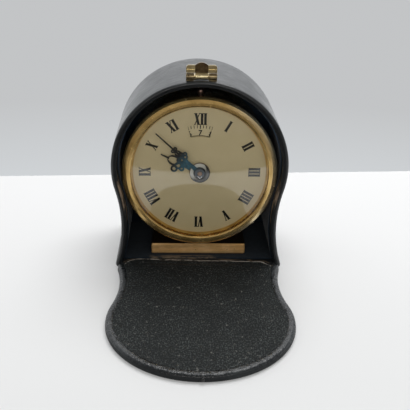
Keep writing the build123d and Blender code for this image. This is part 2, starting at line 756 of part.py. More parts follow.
# Hands, the nut that holds them, and the motion work under the dial
hour_turned = -360 * time_shown_share
minute_turned = 12 * hour_turned
hour_face = filigree(
    hour_hand_length, hour_hub_radius, hour_neck_width, hour_wire, hour_scroll_shares, hour_spade_shares
)
hour_hand = cut_flat(hour_face, hour_hand_front, hour_hand_back)
hour_hand += turned(
    (0, hour_hand_front),
    (hour_hub_radius, hour_hand_front),
    (minute_hub_radius, hour_hand_front + hour_hub_dome),
    (0, hour_hand_front + hour_hub_dome),
)
hour_hand -= rod(hour_pipe_radius, hour_hand_front + hour_hub_dome + cut_overrun, -cut_overrun)
on_clock("hour_hand", Rot(0, 0, hour_turned) * hour_hand)
minute_face = filigree(
    minute_hand_length, minute_hub_radius, minute_neck_width, minute_wire,
    minute_scroll_shares, minute_spade_shares,
)
tail_bite = minute_hub_radius + minute_tail_shift - minute_tail_overlap
minute_face += Circle(minute_tail_radius) - Pos(0, minute_tail_shift) * Circle(tail_bite)
minute_hand = cut_flat(minute_face, minute_hand_front, minute_hand_back)
minute_hand += turned(
    (0, minute_hand_front),
    (minute_hub_radius, minute_hand_front),
    (hand_nut_radius, nut_back),
    (0, nut_back),
)
minute_hand -= rod(hand_post_radius, nut_back + cut_overrun, -cut_overrun)
on_clock("minute_hand", Rot(0, 0, minute_turned) * minute_hand)
nut = rod(hand_nut_radius, nut_front, nut_back)
nut = chamfer(nut.edges().group_by(Axis.Z)[-1], hand_nut_height / 2)
on_clock("hand_nut", nut - rod(hand_post_radius, nut_back + hand_nut_height / 2, nut_back - cut_overrun))
arbor = rod(cannon_radius, minute_hand_back, minute_wheel_back)
arbor += rod(hand_post_radius, nut_back + hand_nut_height / 2, minute_wheel_back)
arbor += rod(cannon_radius - level_gap, minute_wheel_back, knob_front - knob_height / 2)
cannon = toothed(cannon_teeth, minute_module, minute_wheel_angle)
arbor += cut_flat(cannon, minute_wheel_front, minute_wheel_back)
on_clock("centre_arbor", arbor)
centre_bore = cannon_radius - level_gap + running_gap
wheel_phase = gap_phase(minute_wheel_teeth, minute_wheel_angle + 180)
wheel_teeth = toothed(minute_wheel_teeth, minute_module, wheel_phase)
pinion = toothed(minute_pinion_teeth, hour_module, minute_wheel_angle + 180)
minute_wheel = cut_flat(wheel_teeth, minute_wheel_front, minute_wheel_back)
minute_wheel += cut_flat(pinion, hour_wheel_front, minute_wheel_front)
minute_post_bore = minute_post_radius + running_gap
minute_wheel -= rod(minute_post_bore, hour_wheel_front + cut_overrun, minute_wheel_back - cut_overrun)
on_clock("minute_wheel", minute_wheel, minute_wheel_at)
hour_teeth = toothed(hour_wheel_teeth, hour_module, gap_phase(hour_wheel_teeth, minute_wheel_angle))
hour_wheel = cut_flat(hour_teeth, hour_wheel_front, hour_wheel_back)
hour_wheel += rod(hour_pipe_radius, hour_hand_front + hour_hub_dome / 2, hour_wheel_back)
hour_wheel -= rod(hour_pipe_bore, hour_hand_front + cut_overrun, hour_wheel_back - cut_overrun)
on_clock("hour_wheel", hour_wheel)

# Alarm disc behind the dial window, with its setting arbor and knob
disc_face = toothed(alarm_disc_teeth, alarm_disc_module, alarm_setting_angle)
disc = cut_flat(disc_face, alarm_disc_front, alarm_disc_back)
disc -= rod(hour_pipe_radius + running_gap, alarm_disc_front + cut_overrun, alarm_disc_back - cut_overrun)
on_clock("alarm_disc", disc)
alarm_phase = gap_phase(alarm_pinion_teeth, alarm_setting_angle + 180)
setter_face = toothed(alarm_pinion_teeth, alarm_disc_module, alarm_phase)
setter = cut_flat(setter_face, alarm_disc_front, alarm_disc_back)
setter += rod(alarm_setting_radius, alarm_disc_front, knob_front - knob_height / 2)
on_clock("alarm_setting_arbor", setter, alarm_setting_at)


def knob(radius, bore):
    """A faceted setting knob with a blind bore for its arbor."""
    body = extrude(Pos(0, 0, knob_back) * RegularPolygon(radius, knob_sides), knob_height)
    body = chamfer(body.edges().group_by(Axis.Z)[0], knob_chamfer)
    return body - rod(bore, knob_front + cut_overrun, knob_front - knob_height / 2)


on_clock("setting_knob", knob(setting_knob_radius, cannon_radius - level_gap))
on_clock("alarm_setting_knob", knob(alarm_knob_radius, alarm_setting_radius), alarm_setting_at)


def barrel(teeth, module, phase):
    """A spring barrel: a plain drum with a toothed flange at the back."""
    body = rod(pitch_radius(teeth, module) - dedendum_share * module - barrel_rim, barrel_front, barrel_back)
    body += cut_flat(toothed(teeth, module, phase), flange_front, barrel_back)
    bore = barrel_arbor_radius + running_gap
    return body - rod(bore, barrel_front + cut_overrun, barrel_back - cut_overrun)


def winding_key():
    """A butterfly key: a hub with two wings that swell outwards."""
    hub = rod(key_hub_radius, knob_front, knob_front - key_hub_height)
    half = key_wing_span / 2
    waist = key_wing_waist_share * key_wing_height
    wing_top = knob_front - key_hub_height / 2
    points = (
        (-half, wing_top), (0, wing_top + (waist - key_wing_height) / 2), (half, wing_top),
        (half, wing_top - key_wing_height), (0, wing_top - waist), (-half, wing_top - key_wing_height),
    )
    wings = make_face(Polyline(*points, close=True))
    key = hub + extrude(Plane.XZ * wings, key_wing_thickness / 2, both=True)
    return key - rod(barrel_arbor_radius, knob_front + cut_overrun, knob_front - key_hub_height / 2)


def ratchet():
    """A saw toothed wheel squared on a barrel arbor."""
    face = saw_toothed(ratchet_teeth, ratchet_radius, ratchet_tooth_depth, 1)
    wheel = cut_flat(face, ratchet_front, ratchet_back)
    return wheel - rod(barrel_arbor_radius, ratchet_front + cut_overrun, ratchet_back - cut_overrun)


def click():
    """A pawl whose nose drops between two ratchet teeth, drawn about its own pin."""
    nose = make_face(Polyline(
        (0, click_hub_radius / 2), (-click_length, click_tip_width / 2),
        (-click_length, -click_tip_width / 2), (0, -click_hub_radius / 2), close=True,
    ))
    pawl = cut_flat(nose + Circle(click_hub_radius), ratchet_front, ratchet_back)
    return pawl - rod(click_pin_radius + running_gap, ratchet_front + cut_overrun, ratchet_back - cut_overrun)


def click_place(centre):
    """Where a click's pin stands, and the turn that points its nose at the ratchet."""
    nose_radius = ratchet_radius - ratchet_tooth_depth + click_tip_gap + click_tip_width / 2
    nose_at = shifted(centre, nose_radius, click_angle)
    return shifted(nose_at, click_length, click_angle + click_slant), click_angle + click_slant


winders = (
    ("time", time_barrel_at, barrel(barrel_teeth, barrel_module, time_barrel_angle + 180)),
    ("alarm", alarm_barrel_at, barrel(alarm_barrel_teeth, alarm_barrel_module, strike_angle)),
)
ratchet_turn = click_angle - 360 * click_seat_share / ratchet_teeth
click_pins = []
winding_arbor = rod(barrel_arbor_radius, arbor_front, knob_front - key_hub_height / 2)
for winder, place, drum_part in winders:
    on_clock(winder + "_barrel", drum_part, place)
    on_clock(winder + "_barrel_arbor", winding_arbor, place)
    on_clock(winder + "_winding_key", winding_key(), place)
    on_clock(winder + "_ratchet", Rot(0, 0, ratchet_turn) * ratchet(), place)
    pin_at, turn = click_place(place)
    click_pins.append(pin_at)
    on_clock(winder + "_click", Rot(0, 0, turn) * click(), pin_at)

# Going train between the plates
centre_phase = gap_phase(centre_pinion_teeth, time_barrel_angle)
centre_face = toothed(centre_teeth, centre_module, third_angle)
centre_wheel = cut_flat(centre_face, centre_wheel_front, centre_wheel_back)
centre_pinion = toothed(centre_pinion_teeth, barrel_module, centre_phase)
centre_wheel += cut_flat(centre_pinion, flange_front + pinion_overhang, centre_wheel_front)
centre_wheel -= rod(centre_bore, plate_back, back_plate_front)
on_clock("centre_wheel", centre_wheel)


def train_wheel(wheel, wheel_front, wheel_back, leaves, pinion_front, pinion_back):
    """A wheel and a pinion on one arbor that runs in both plates."""
    part = cut_flat(wheel, wheel_front, wheel_back) + cut_flat(leaves, pinion_front, pinion_back)
    return part + rod(train_arbor_radius, arbor_front, arbor_back)


third_leaves = toothed(third_pinion_teeth, centre_module, gap_phase(third_pinion_teeth, third_angle + 180))
on_clock("third_wheel", train_wheel(
    toothed(third_teeth, third_module, fourth_angle), third_wheel_front, third_wheel_back,
    third_leaves, centre_wheel_front + pinion_overhang, centre_wheel_back - pinion_overhang,
), third_at)
fourth_leaves = toothed(fourth_pinion_teeth, third_module, gap_phase(fourth_pinion_teeth, fourth_angle + 180))
on_clock("fourth_wheel", train_wheel(
    toothed(fourth_teeth, fourth_module, escape_angle), fourth_wheel_front, fourth_wheel_back,
    fourth_leaves, third_wheel_front + pinion_overhang, third_wheel_back - pinion_overhang,
), fourth_at)
escape_phase = gap_phase(escape_pinion_teeth, escape_angle + 180)
escape_leaves = toothed(escape_pinion_teeth, fourth_module, escape_phase)
on_clock("escape_wheel", train_wheel(
    saw_toothed(escape_teeth, escape_radius, escape_tooth_depth, escape_rake_share),
    escape_front, escape_back,
    escape_leaves, fourth_wheel_front + pinion_overhang, fourth_wheel_back - pinion_overhang,
), escape_at)

# Pallet fork: an anchor that straddles the escape wheel and a fork that reaches for the balance
pallet_arm = escape_radius + pallet_tip_gap
tip_fall = pallet_distance - sqrt(pallet_arm**2 - pallet_spread**2)
fork = Circle(pallet_hub_radius) + bar(fork_width, fork_length, pallet_angle)
for side in (-1, 1):
    tip_angle = degrees(atan2(side * pallet_spread, -tip_fall))
    tip_reach = hypot(pallet_spread, tip_fall) - pallet_arm_width
    fork += bar(pallet_arm_width, tip_reach, pallet_angle + tip_angle)
pallet_fork = cut_flat(fork, escape_front, escape_back) + rod(train_arbor_radius, arbor_front, arbor_back)
on_clock("pallet_fork", pallet_fork, pallet_at)

# Balance: a rim on two arms, with its staff and roller
balance_front = centre_wheel_front
balance_back = balance_front - balance_thickness
balance = tube(balance_radius, balance_radius - balance_rim_width, balance_front, balance_back)
arms = Rectangle(2 * (balance_radius - balance_rim_width / 2), balance_arm_width)
balance += cut_flat(arms, balance_front, balance_back)
balance += rod(balance_roller_radius, escape_front, balance_front)
on_clock("balance_wheel", balance + rod(train_arbor_radius, arbor_front, arbor_back), balance_at)

# Alarm strike wheel and hammer
strike_leaves = toothed(
    strike_pinion_teeth, alarm_barrel_module, gap_phase(strike_pinion_teeth, strike_angle + 180)
)
on_clock("strike_wheel", train_wheel(
    saw_toothed(strike_teeth, strike_radius, strike_tooth_depth, escape_rake_share), strike_wheel_front,
    strike_wheel_back, strike_leaves, flange_front + pinion_overhang, strike_wheel_front,
), strike_at)
hammer = rod(train_arbor_radius, arbor_front, hammer_back)
hammer_pallet = bar(pallet_arm_width, hammer_pallet_length - pallet_arm_width / 2, hammer_pallet_angle)
hammer += cut_flat(Circle(pallet_hub_radius) + hammer_pallet, strike_wheel_front, strike_wheel_back)
hammer_arm = bar(hammer_arm_width, hammer_arm_length, hammer_arm_angle)
hammer += cut_flat(Circle(pallet_hub_radius) + hammer_arm, hammer_front, hammer_back)
head_place = Pos(*polar(hammer_arm_length, hammer_arm_angle), 0)
hammer += head_place * rod(hammer_head_radius, hammer_front, hammer_front - hammer_head_length)
on_clock("alarm_hammer", hammer, hammer_at)

# Movement plates, drilled for every arbor, with pillars and screws between them
train_places = (third_at, fourth_at, escape_at, pallet_at, balance_at, strike_at, hammer_at)
front_plate = rod(plate_radius, plate_front, plate_back)
front_plate += Pos(*minute_wheel_at, 0) * rod(minute_post_radius, hour_wheel_front, plate_front)
back_plate = rod(plate_radius - back_plate_inset, back_plate_front, back_plate_back)
drillings = [(centre_at, centre_bore), (alarm_setting_at, alarm_setting_radius + running_gap)]
drillings += [(place, barrel_arbor_radius + running_gap) for place in (time_barrel_at, alarm_barrel_at)]
drillings += [(place, train_arbor_radius + running_gap) for place in train_places]
for place, bore in drillings:
    front_plate -= Pos(*place, 0) * rod(bore, plate_front + cut_overrun, plate_back - cut_overrun)
    back_plate -= Pos(*place, 0) * rod(bore, back_plate_front + cut_overrun, back_plate_back - cut_overrun)
for place in click_pins:
    back_plate += Pos(*place, 0) * rod(click_pin_radius, back_plate_back, ratchet_back)
on_clock("front_plate", front_plate)
on_clock("back_plate", back_plate)
pillar_places = [Pos(*polar(pillar_ring, angle), 0) for angle in pillar_angles]
pillar = rod(pillar_radius, plate_back, back_plate_front)
on_clock("plate_pillars", Compound(children=[place * pillar for place in pillar_places]))
plate_screw = rod(plate_screw_radius, back_plate_back, back_plate_back - plate_screw_height)
slot = Box(2 * plate_screw_radius, plate_screw_slot, plate_screw_slot)
plate_screw -= Pos(0, 0, back_plate_back - plate_screw_height) * slot
on_clock("plate_screws", Compound(children=[place * plate_screw for place in pillar_places]))

# Back cover with sound holes, plugged into the drum
cover = rod(drum_radius, drum_back, cover_back)
plug_radius = drum_bore - fit_gap
cover += tube(plug_radius, plug_radius - cover_plug_wall, drum_back + cover_plug_depth, drum_back)
cover_drillings = [(centre_at, centre_bore), (alarm_setting_at, alarm_setting_radius + running_gap)]
cover_drillings += [(place, barrel_arbor_radius + running_gap) for place in (time_barrel_at, alarm_barrel_at)]
sound_ring = drum_radius - sound_hole_inset
for i in range(sound_hole_count):
    cover_drillings.append((polar(sound_ring, 180 * (i + 1) / (sound_hole_count + 1)), sound_hole_radius))
for place, bore in cover_drillings:
    cover -= Pos(*place, 0) * rod(bore, drum_back + cut_overrun, cover_back - cut_overrun)
on_clock("back_cover", cover)

os.makedirs("parts", exist_ok=True)
for name, piece in nodes.items():
    export_step(piece, "parts/" + name + ".step")
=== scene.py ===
import json
from math import asin, atan2, cos, pi, radians, sin, sqrt

import bpy
from mathutils import Matrix, Vector, noise


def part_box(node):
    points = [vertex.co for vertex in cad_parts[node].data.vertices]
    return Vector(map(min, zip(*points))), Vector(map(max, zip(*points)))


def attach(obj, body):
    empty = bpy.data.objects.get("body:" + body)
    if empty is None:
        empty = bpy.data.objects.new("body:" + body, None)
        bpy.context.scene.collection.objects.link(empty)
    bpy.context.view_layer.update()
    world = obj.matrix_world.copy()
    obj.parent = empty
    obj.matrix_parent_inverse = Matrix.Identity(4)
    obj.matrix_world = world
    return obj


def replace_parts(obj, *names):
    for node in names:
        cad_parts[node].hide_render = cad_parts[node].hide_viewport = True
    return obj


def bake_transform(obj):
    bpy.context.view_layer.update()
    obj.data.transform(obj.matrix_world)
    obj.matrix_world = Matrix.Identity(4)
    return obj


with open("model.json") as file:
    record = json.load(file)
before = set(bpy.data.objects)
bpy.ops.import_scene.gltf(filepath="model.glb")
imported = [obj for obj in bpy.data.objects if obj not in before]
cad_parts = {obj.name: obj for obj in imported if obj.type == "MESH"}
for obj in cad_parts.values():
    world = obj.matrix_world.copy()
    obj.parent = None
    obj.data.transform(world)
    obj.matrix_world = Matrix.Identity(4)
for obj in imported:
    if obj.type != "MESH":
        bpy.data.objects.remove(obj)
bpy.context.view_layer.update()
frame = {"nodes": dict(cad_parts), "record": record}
nodes = frame["nodes"]
MM = 0.001

# The photograph's camera: place in metres, turns in radians, focal length in pixels of a square image
IMAGE_SIZE = 410
FOCAL_PIXELS = 696.9
CAMERA_PLACE = Vector((-0.008169, -0.315479, 0.160767))
CAMERA_YAW = 0.0367
CAMERA_PITCH = -0.41364
CAMERA_ROLL = 0.0214
SENSOR_WIDTH = 36.0
CLIP_START = 0.01

# Sizes read from the frame
shell_low, shell_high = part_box("case_shell")
flap_low, flap_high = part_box("flap_board")
bezel_low, bezel_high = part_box("bezel")
dial_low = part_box("dial")[0]
disc_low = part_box("alarm_disc")[0]
foot_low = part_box("foot_bar")[0]
strip_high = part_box("hinge_strip")[1]
FRONT = shell_low[1]
BACK = shell_high[1]
ARCH = (shell_high[0] - shell_low[0]) / 2
HEIGHT = shell_high[2]
ARCH_Z = HEIGHT - ARCH
CLOCK_Z = (bezel_low[2] + bezel_high[2]) / 2
BEZEL_RADIUS = (bezel_high[0] - bezel_low[0]) / 2
DIAL_Y = dial_low[1]
DISC_Y = disc_low[1]
FOOT_FRONT = foot_low[1]
FOOT_LOW = foot_low[2]

# Case outline: a round arch on concave sides, and the leather that covers it
WAIST_Z = 21.6 * MM
WAIST_IN = 3.9 * MM
WAIST_X = ARCH - WAIST_IN
RISE = ARCH_Z - WAIST_Z
FLARE_X = WAIST_X + (WAIST_X**2 + RISE**2 - ARCH**2) / (2 * WAIST_IN)
CORNER = 1.7 * MM
SHARP = 0.05 * MM
WALL = 2.8 * MM
EDGE_ROUND = 1.2 * MM
LIP_ROUND = 0.8 * MM
LIP_DEPTH = 5.2 * MM
LEATHER_DROP = 0.1 * MM
LEATHER_WAVE = 14 * MM
LEATHER_SEED = 1.0
LAYER_LINES = (1.25 * MM, 1.65 * MM)
LAYER_WIDTH = 0.25 * MM

# Flap outline: the case outline a little smaller and lower, laid open from the crease
FLAP_TOP = flap_high[2]
CREASE_Z = 3.25 * MM
FLAP_INSET = ARCH - flap_high[0]
FLAP_LENGTH = flap_high[1] - flap_low[1]
FLAP_DROP = HEIGHT - FLAP_INSET - CREASE_Z - FLAP_LENGTH
FLAP_BORDER = 3.4 * MM
FLAP_CORNER = 0.8 * MM
SUEDE_DROP = 0.12 * MM


def circle_span(drop):
    """Distance between the centres of the arch's circle and of a concave side's."""
    return sqrt(FLARE_X**2 + (RISE - drop) ** 2)


def join_height(inset, drop):
    """Height at which the arch meets the concave sides."""
    return ARCH_Z - drop - (ARCH - inset) * (RISE - drop) / circle_span(drop)


def half_width(z, inset, drop=0.0):
    """Half the width of the outline at a height, drawn in by an inset, its arch lowered by a drop."""
    arch = ARCH - inset
    if z < join_height(inset, drop):
        return FLARE_X - sqrt((circle_span(drop) - arch) ** 2 - (WAIST_Z - z) ** 2)
    return sqrt(max(arch**2 - (z - ARCH_Z + drop) ** 2, 0))


def corner_arc(inset, bottom, drop, corner):
    """Centre of a rounded bottom corner, and the angle at which it meets the concave side."""
    z = bottom + corner
    x = FLARE_X - sqrt((circle_span(drop) - ARCH + inset + corner) ** 2 - (WAIST_Z - z) ** 2)
    return x, z, atan2(WAIST_Z - z, FLARE_X - x)


def full_line(inset, bottom, drop, corner, corner_count=6, flare_count=16, arch_count=30):
    """Points (x, z) from the bottom right over its rounded corner and the arch to the bottom left."""
    arch = ARCH - inset
    join_z = join_height(inset, drop)
    start = asin((RISE - drop) / circle_span(drop))
    round_x, round_z, meeting = corner_arc(inset, bottom, drop, corner)
    right = []
    for i in range(corner_count):
        angle = -pi / 2 + (meeting + pi / 2) * i / corner_count
        right.append((round_x + corner * cos(angle), round_z + corner * sin(angle)))
    side_z = round_z + corner * sin(meeting)
    for i in range(flare_count):
        z = side_z + (join_z - side_z) * i / flare_count
        right.append((half_width(z, inset, drop), z))
    for i in range(arch_count + 1):
        angle = -start + (pi / 2 + start) * i / arch_count
        right.append((arch * cos(angle), ARCH_Z - drop + arch * sin(angle)))
    return right + [(-x, z) for x, z in reversed(right[:-1])]


def add_mesh(name, verts, faces, smooth_angle=35):
    """A smooth object with sharp edges where its faces meet at more than an angle."""
    mesh = bpy.data.meshes.new(name)
    mesh.from_pydata(verts, [], faces)
    mesh.update()
    mesh.shade_smooth()
    mesh.set_sharp_from_angle(angle=radians(smooth_angle))
    obj = bpy.data.objects.new(name, mesh)
    bpy.context.scene.collection.objects.link(obj)
    return obj


def put(obj, body, material):
    """Give a piece its material and its body."""
    obj.data.materials.append(material)
    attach(obj, body)
    return obj


def paint_faces(obj, material, faces):
    """Give some faces of a piece a second material."""
    obj.data.materials.append(material)
    for face in faces:
        obj.data.polygons[face].material_index = 1


def grid_faces(rows, columns, closed_rows=False, closed_columns=False):
    """Quads between neighbouring points of a grid."""
    faces = []
    for r in range(rows if closed_rows else rows - 1):
        near, far = r * columns, (r + 1) % rows * columns
        for c in range(columns if closed_columns else columns - 1):
            d = (c + 1) % columns
            faces.append((near + c, near + d, far + d, far + c))
    return faces


def slab_faces(rows, columns):
    """Faces of a closed slab: an upper grid, a lower grid after it, and the edge between them."""
    grid = grid_faces(rows, columns)
    under = rows * columns
    faces = grid + [tuple(under + i for i in reversed(face)) for face in grid]
    loop = list(range(columns)) + [columns * r + columns - 1 for r in range(1, rows)]
    loop += [columns * (rows - 1) + c for c in reversed(range(columns - 1))]
    loop += [columns * r for r in reversed(range(1, rows - 1))]
    for a, b in zip(loop, loop[1:] + loop[:1]):
        faces.append((b, a, under + a, under + b))
    return faces


def uneven(point, wave, depth, seed):
    """A soft hand-made unevenness at a point."""
    return depth * noise.noise(Vector(point) / wave + Vector((seed, 2 * seed, 3 * seed)))


# Materials
class Paint:
    """A node material with a short way to add and join nodes."""

    def __init__(self, name):
        self.material = bpy.data.materials.new(name)
        self.material.use_nodes = True
        self.tree = self.material.node_tree
        self.shader = self.tree.nodes["Principled BSDF"]
        self.place = self.add("ShaderNodeTexCoord").outputs["Object"]

    def add(self, kind, **values):
        node = self.tree.nodes.new(kind)
        for key, value in values.items():
            setattr(node, key, value)
        return node

    def join(self, source, target):
        self.tree.links.new(source, target)

    def set(self, **values):
        for key, value in values.items():
            self.shader.inputs[key.replace("_", " ")].default_value = value

    def noise(self, grain, detail=4.0, rough=0.6, stretch=(1, 1, 1)):
        """Noise with its grain in features per metre, longer where the stretch is small."""
        mapping = self.add("ShaderNodeMapping")
        mapping.inputs["Scale"].default_value = stretch
        self.join(self.place, mapping.inputs["Vector"])
        node = self.add("ShaderNodeTexNoise")
        node.inputs["Scale"].default_value = grain
        node.inputs["Detail"].default_value = detail
        node.inputs["Roughness"].default_value = rough
        self.join(mapping.outputs["Vector"], node.inputs["Vector"])
        return node.outputs["Fac"]

    def ramp(self, source, *stops):
        """A colour, or a grey given as one number, for each stop."""
        node = self.add("ShaderNodeValToRGB")
        elements = node.color_ramp.elements
        while len(elements) < len(stops):
            elements.new(0.5)
        for element, (place, colour) in zip(elements, stops):
            element.position = place
            element.color = (*colour, 1) if isinstance(colour, tuple) else (colour, colour, colour, 1)
        self.join(source, node.inputs["Fac"])
        return node.outputs["Color"]

    def step(self, source, low, high):
        """0 up to low and 1 from high on, for a source between 0 and 1."""
        return self.ramp(source, (low, 0.0), (high, 1.0))

    def mix(self, share, first, second, blend="MIX"):
        """The first colour where the share is 0, the second where it is 1."""
        node = self.add("ShaderNodeMix", data_type="RGBA", blend_type=blend)
        if isinstance(share, float):
            node.inputs["Factor"].default_value = share
        else:
            self.join(share, node.inputs["Factor"])
        sockets = [socket for socket in node.inputs if socket.type == "RGBA"]
        for value, socket in zip((first, second), sockets):
            if isinstance(value, tuple):
                socket.default_value = (*value, 1)
            else:
                self.join(value, socket)
        return [socket for socket in node.outputs if socket.type == "RGBA"][0]

    def math(self, operation, *values):
        node = self.add("ShaderNodeMath", operation=operation)
        for i, value in enumerate(values):
            if isinstance(value, (int, float)):
                node.inputs[i].default_value = value
            else:
                self.join(value, node.inputs[i])
        return node.outputs[0]

    def times(self, first, second):
        return self.math("MULTIPLY", first, second)

    def axis(self, name):
        node = self.add("ShaderNodeSeparateXYZ")
        self.join(self.place, node.inputs[0])
        return node.outputs[name]

    def band(self, source, low, high):
        """0 at low and 1 at high, in the source's own units."""
        node = self.add("ShaderNodeMapRange")
        node.inputs["From Min"].default_value = low
        node.inputs["From Max"].default_value = high
        self.join(source, node.inputs["Value"])
        return node.outputs["Result"]

    def within(self, source, low, high, soft):
        """1 between low and high, falling to 0 over a soft margin outside."""
        return self.times(self.band(source, low - soft, low), self.band(source, high + soft, high))

    def from_clock_axis(self):
        """Distance from the clock's axis."""
        across = self.math("POWER", self.axis("X"), 2.0)
        height = self.math("SUBTRACT", self.axis("Z"), CLOCK_Z)
        return self.math("SQRT", self.math("ADD", across, self.math("POWER", height, 2.0)))

    def colour(self, source):
        self.join(source, self.shader.inputs["Base Color"])

    def tone(self):
        """What gives the base colour so far."""
        return self.shader.inputs["Base Color"].links[0].from_socket

    def rough(self, source):
        self.join(source, self.shader.inputs["Roughness"])

    def bump(self, source, strength, depth):
        node = self.add("ShaderNodeBump")
        node.inputs["Strength"].default_value = strength
        node.inputs["Distance"].default_value = depth
        self.join(source, node.inputs["Height"])
        self.join(node.outputs["Normal"], self.shader.inputs["Normal"])

    def glow(self, source):
        """A shader that shines in a colour."""
        node = self.add("ShaderNodeEmission")
        self.join(source, node.inputs["Color"])
        return node.outputs[0]

    def blend(self, share, first, second):
        """The first shader where the share is 0, the second where it is 1."""
        node = self.add("ShaderNodeMixShader")
        for source, target in zip((share, first, second), node.inputs):
            self.join(source, target)
        return node.outputs[0]

    def surface(self, shader):
        self.join(shader, self.tree.nodes["Material Output"].inputs["Surface"])


BLACK_LEATHER = (0.0055, 0.0073, 0.0088)
RUBBED_LEATHER = (0.022, 0.026, 0.028)
BROWN_HIDE = (0.11, 0.078, 0.05)
BARE_HIDE = (0.21, 0.15, 0.1)
PALE_FIBRE = (0.52, 0.48, 0.43)
CASE_GRAIN_STRETCH = (0.15, 1.0, 0.15)
FLAP_GRAIN_STRETCH = (0.5, 0.5, 0.5)
CASE_GRAIN_DEPTH = 0.15 * MM
FLAP_GRAIN_DEPTH = 1.0 * MM
EDGE_GRAIN_DEPTH = 0.3 * MM
NAP_DEPTH = 0.2 * MM
STREAK_SHARE = 0.6
DULLING = 0.2


def leather(name, gloss, stretch, depth, shine=0.55):
    """Black grained leather, a little rubbed and duller there."""
    paint = Paint(name)
    patches = paint.noise(70, detail=5)
    streaks = paint.noise(1300, detail=3, stretch=stretch)
    paint.colour(paint.ramp(patches, (0.45, BLACK_LEATHER), (0.75, RUBBED_LEATHER)))
    uneven_gloss = paint.mix(STREAK_SHARE, patches, streaks)
    paint.rough(paint.ramp(uneven_gloss, (0.35, gloss), (0.65, gloss + DULLING)))
    paint.bump(streaks, strength=0.45, depth=depth)
    paint.set(Specular_IOR_Level=shine)
    return paint.material


WORN_LOW = 24 * MM
WORN_HIGH = 44 * MM
WORN_FADE = 8 * MM
WORN_STRETCH = (1.0, 2.0, 0.35)


def lip_leather():
    """The turned-in edge of the leather, worn to brown hide along the sides."""
    paint = Paint("lip_leather")
    sides = paint.within(paint.axis("Z"), WORN_LOW, WORN_HIGH, WORN_FADE)
    wear = paint.times(sides, paint.noise(260, detail=5, rough=0.7, stretch=WORN_STRETCH))
    paint.colour(paint.mix(paint.step(wear, 0.46, 0.58), BLACK_LEATHER, BARE_HIDE))
    paint.bump(paint.noise(1500, detail=3), strength=0.4, depth=CASE_GRAIN_DEPTH)
    paint.set(Roughness=0.5, Specular_IOR_Level=0.3)
    return paint.material


LINING_DARK = (0.005, 0.006, 0.006)
LINING_LESS_DARK = (0.01, 0.012, 0.012)
LINING_GRAIN = (0.082, 0.092, 0.09)
LINING_SCUFF = (0.17, 0.165, 0.15)
LINING_STRETCH = (1.0, 0.6, 1.0)


def speckled(paint):
    """Dark lining with a fine pale grain, denser in patches, and a few paler scuffs."""
    grain = paint.step(paint.noise(1700, detail=2, rough=0.7, stretch=LINING_STRETCH), 0.5, 0.68)
    patches = paint.ramp(paint.noise(75, rough=0.65), (0.36, 0.45), (0.62, 1.0))
    scuffs = paint.step(paint.noise(620, rough=0.7, stretch=LINING_STRETCH), 0.62, 0.72)
    ground = paint.mix(paint.noise(45, detail=3), LINING_DARK, LINING_LESS_DARK)
    lining = paint.mix(paint.times(grain, patches), ground, LINING_GRAIN)
    return paint.mix(scuffs, lining, LINING_SCUFF)


def suede():
    """Matt dark lining with a short nap."""
    paint = Paint("flap_suede")
    paint.colour(speckled(paint))
    paint.bump(paint.noise(1500, detail=3, rough=0.7), strength=0.5, depth=NAP_DEPTH)
    paint.set(Roughness=0.85, Specular_IOR_Level=0.25)
    return paint.material


DARK_PILE = (0.009, 0.015, 0.023)
BLUE_PILE = (0.017, 0.028, 0.041)
# Painted light: the pile is blended to this paler blue towards the top of the case
PAINTED_LIGHT_PILE = (0.07, 0.11, 0.17)
PAINTED_LIGHT_START = 45 * MM
PAINTED_LIGHT_END = 80 * MM
FRAYED_THREAD = (0.17, 0.13, 0.09)
FRAY_LEFT = -21 * MM
FRAY_RIGHT = 6 * MM
FRAY_SIDE_FADE = 3 * MM
FRAY_BACK = FRONT + 7.2 * MM
FRAY_BACK_FADE = 1.5 * MM
FRAY_HIGH = 4.2 * MM
FRAY_FULL_HIGH = 3.8 * MM
THREAD_STRETCH = (0.35, 1.6, 1.0)


def velvet():
    """Deep blue pile, made paler high up by painted light, its front edge before the foot frayed to brown
    threads.
    """
    paint = Paint("velvet")
    pile = paint.ramp(paint.noise(500), (0.3, DARK_PILE), (0.75, BLUE_PILE))
    # painted light: paler pile high up in the case
    pile = paint.mix(paint.band(paint.axis("Z"), PAINTED_LIGHT_START, PAINTED_LIGHT_END), pile, PAINTED_LIGHT_PILE)
    across = paint.within(paint.axis("X"), FRAY_LEFT, FRAY_RIGHT, FRAY_SIDE_FADE)
    place = paint.times(across, paint.band(paint.axis("Y"), FRAY_BACK, FRAY_BACK - FRAY_BACK_FADE))
    place = paint.times(place, paint.band(paint.axis("Z"), FRAY_HIGH, FRAY_FULL_HIGH))
    threads = paint.step(paint.noise(420, detail=5, rough=0.75, stretch=THREAD_STRETCH), 0.46, 0.56)
    paint.colour(paint.mix(paint.times(place, threads), pile, FRAYED_THREAD))
    paint.bump(paint.noise(4000, detail=2), strength=0.4, depth=NAP_DEPTH)
    paint.set(Roughness=0.95, Sheen_Weight=0.12, Sheen_Roughness=0.4, Specular_IOR_Level=0.15)
    return paint.material


FRAY_LINE = FRONT + 2.0 * MM
FRAY_SLANT = 0.036
FRAY_WAVER = 2.4 * MM
FRAY_HALF = 0.15 * MM
FRAY_FADE = 0.25 * MM
SHRED_START = 0.3 * MM
SHRED_END = 2.4 * MM
SHRED_FADE = 0.3 * MM
SHRED_STRETCH = (0.5, 1.5, 1.0)
LINING_FADE = 0.3 * MM
LINING_CORNER = 28 * MM
LINING_BEND = 100.0
NOISE_MIDDLE = 0.5


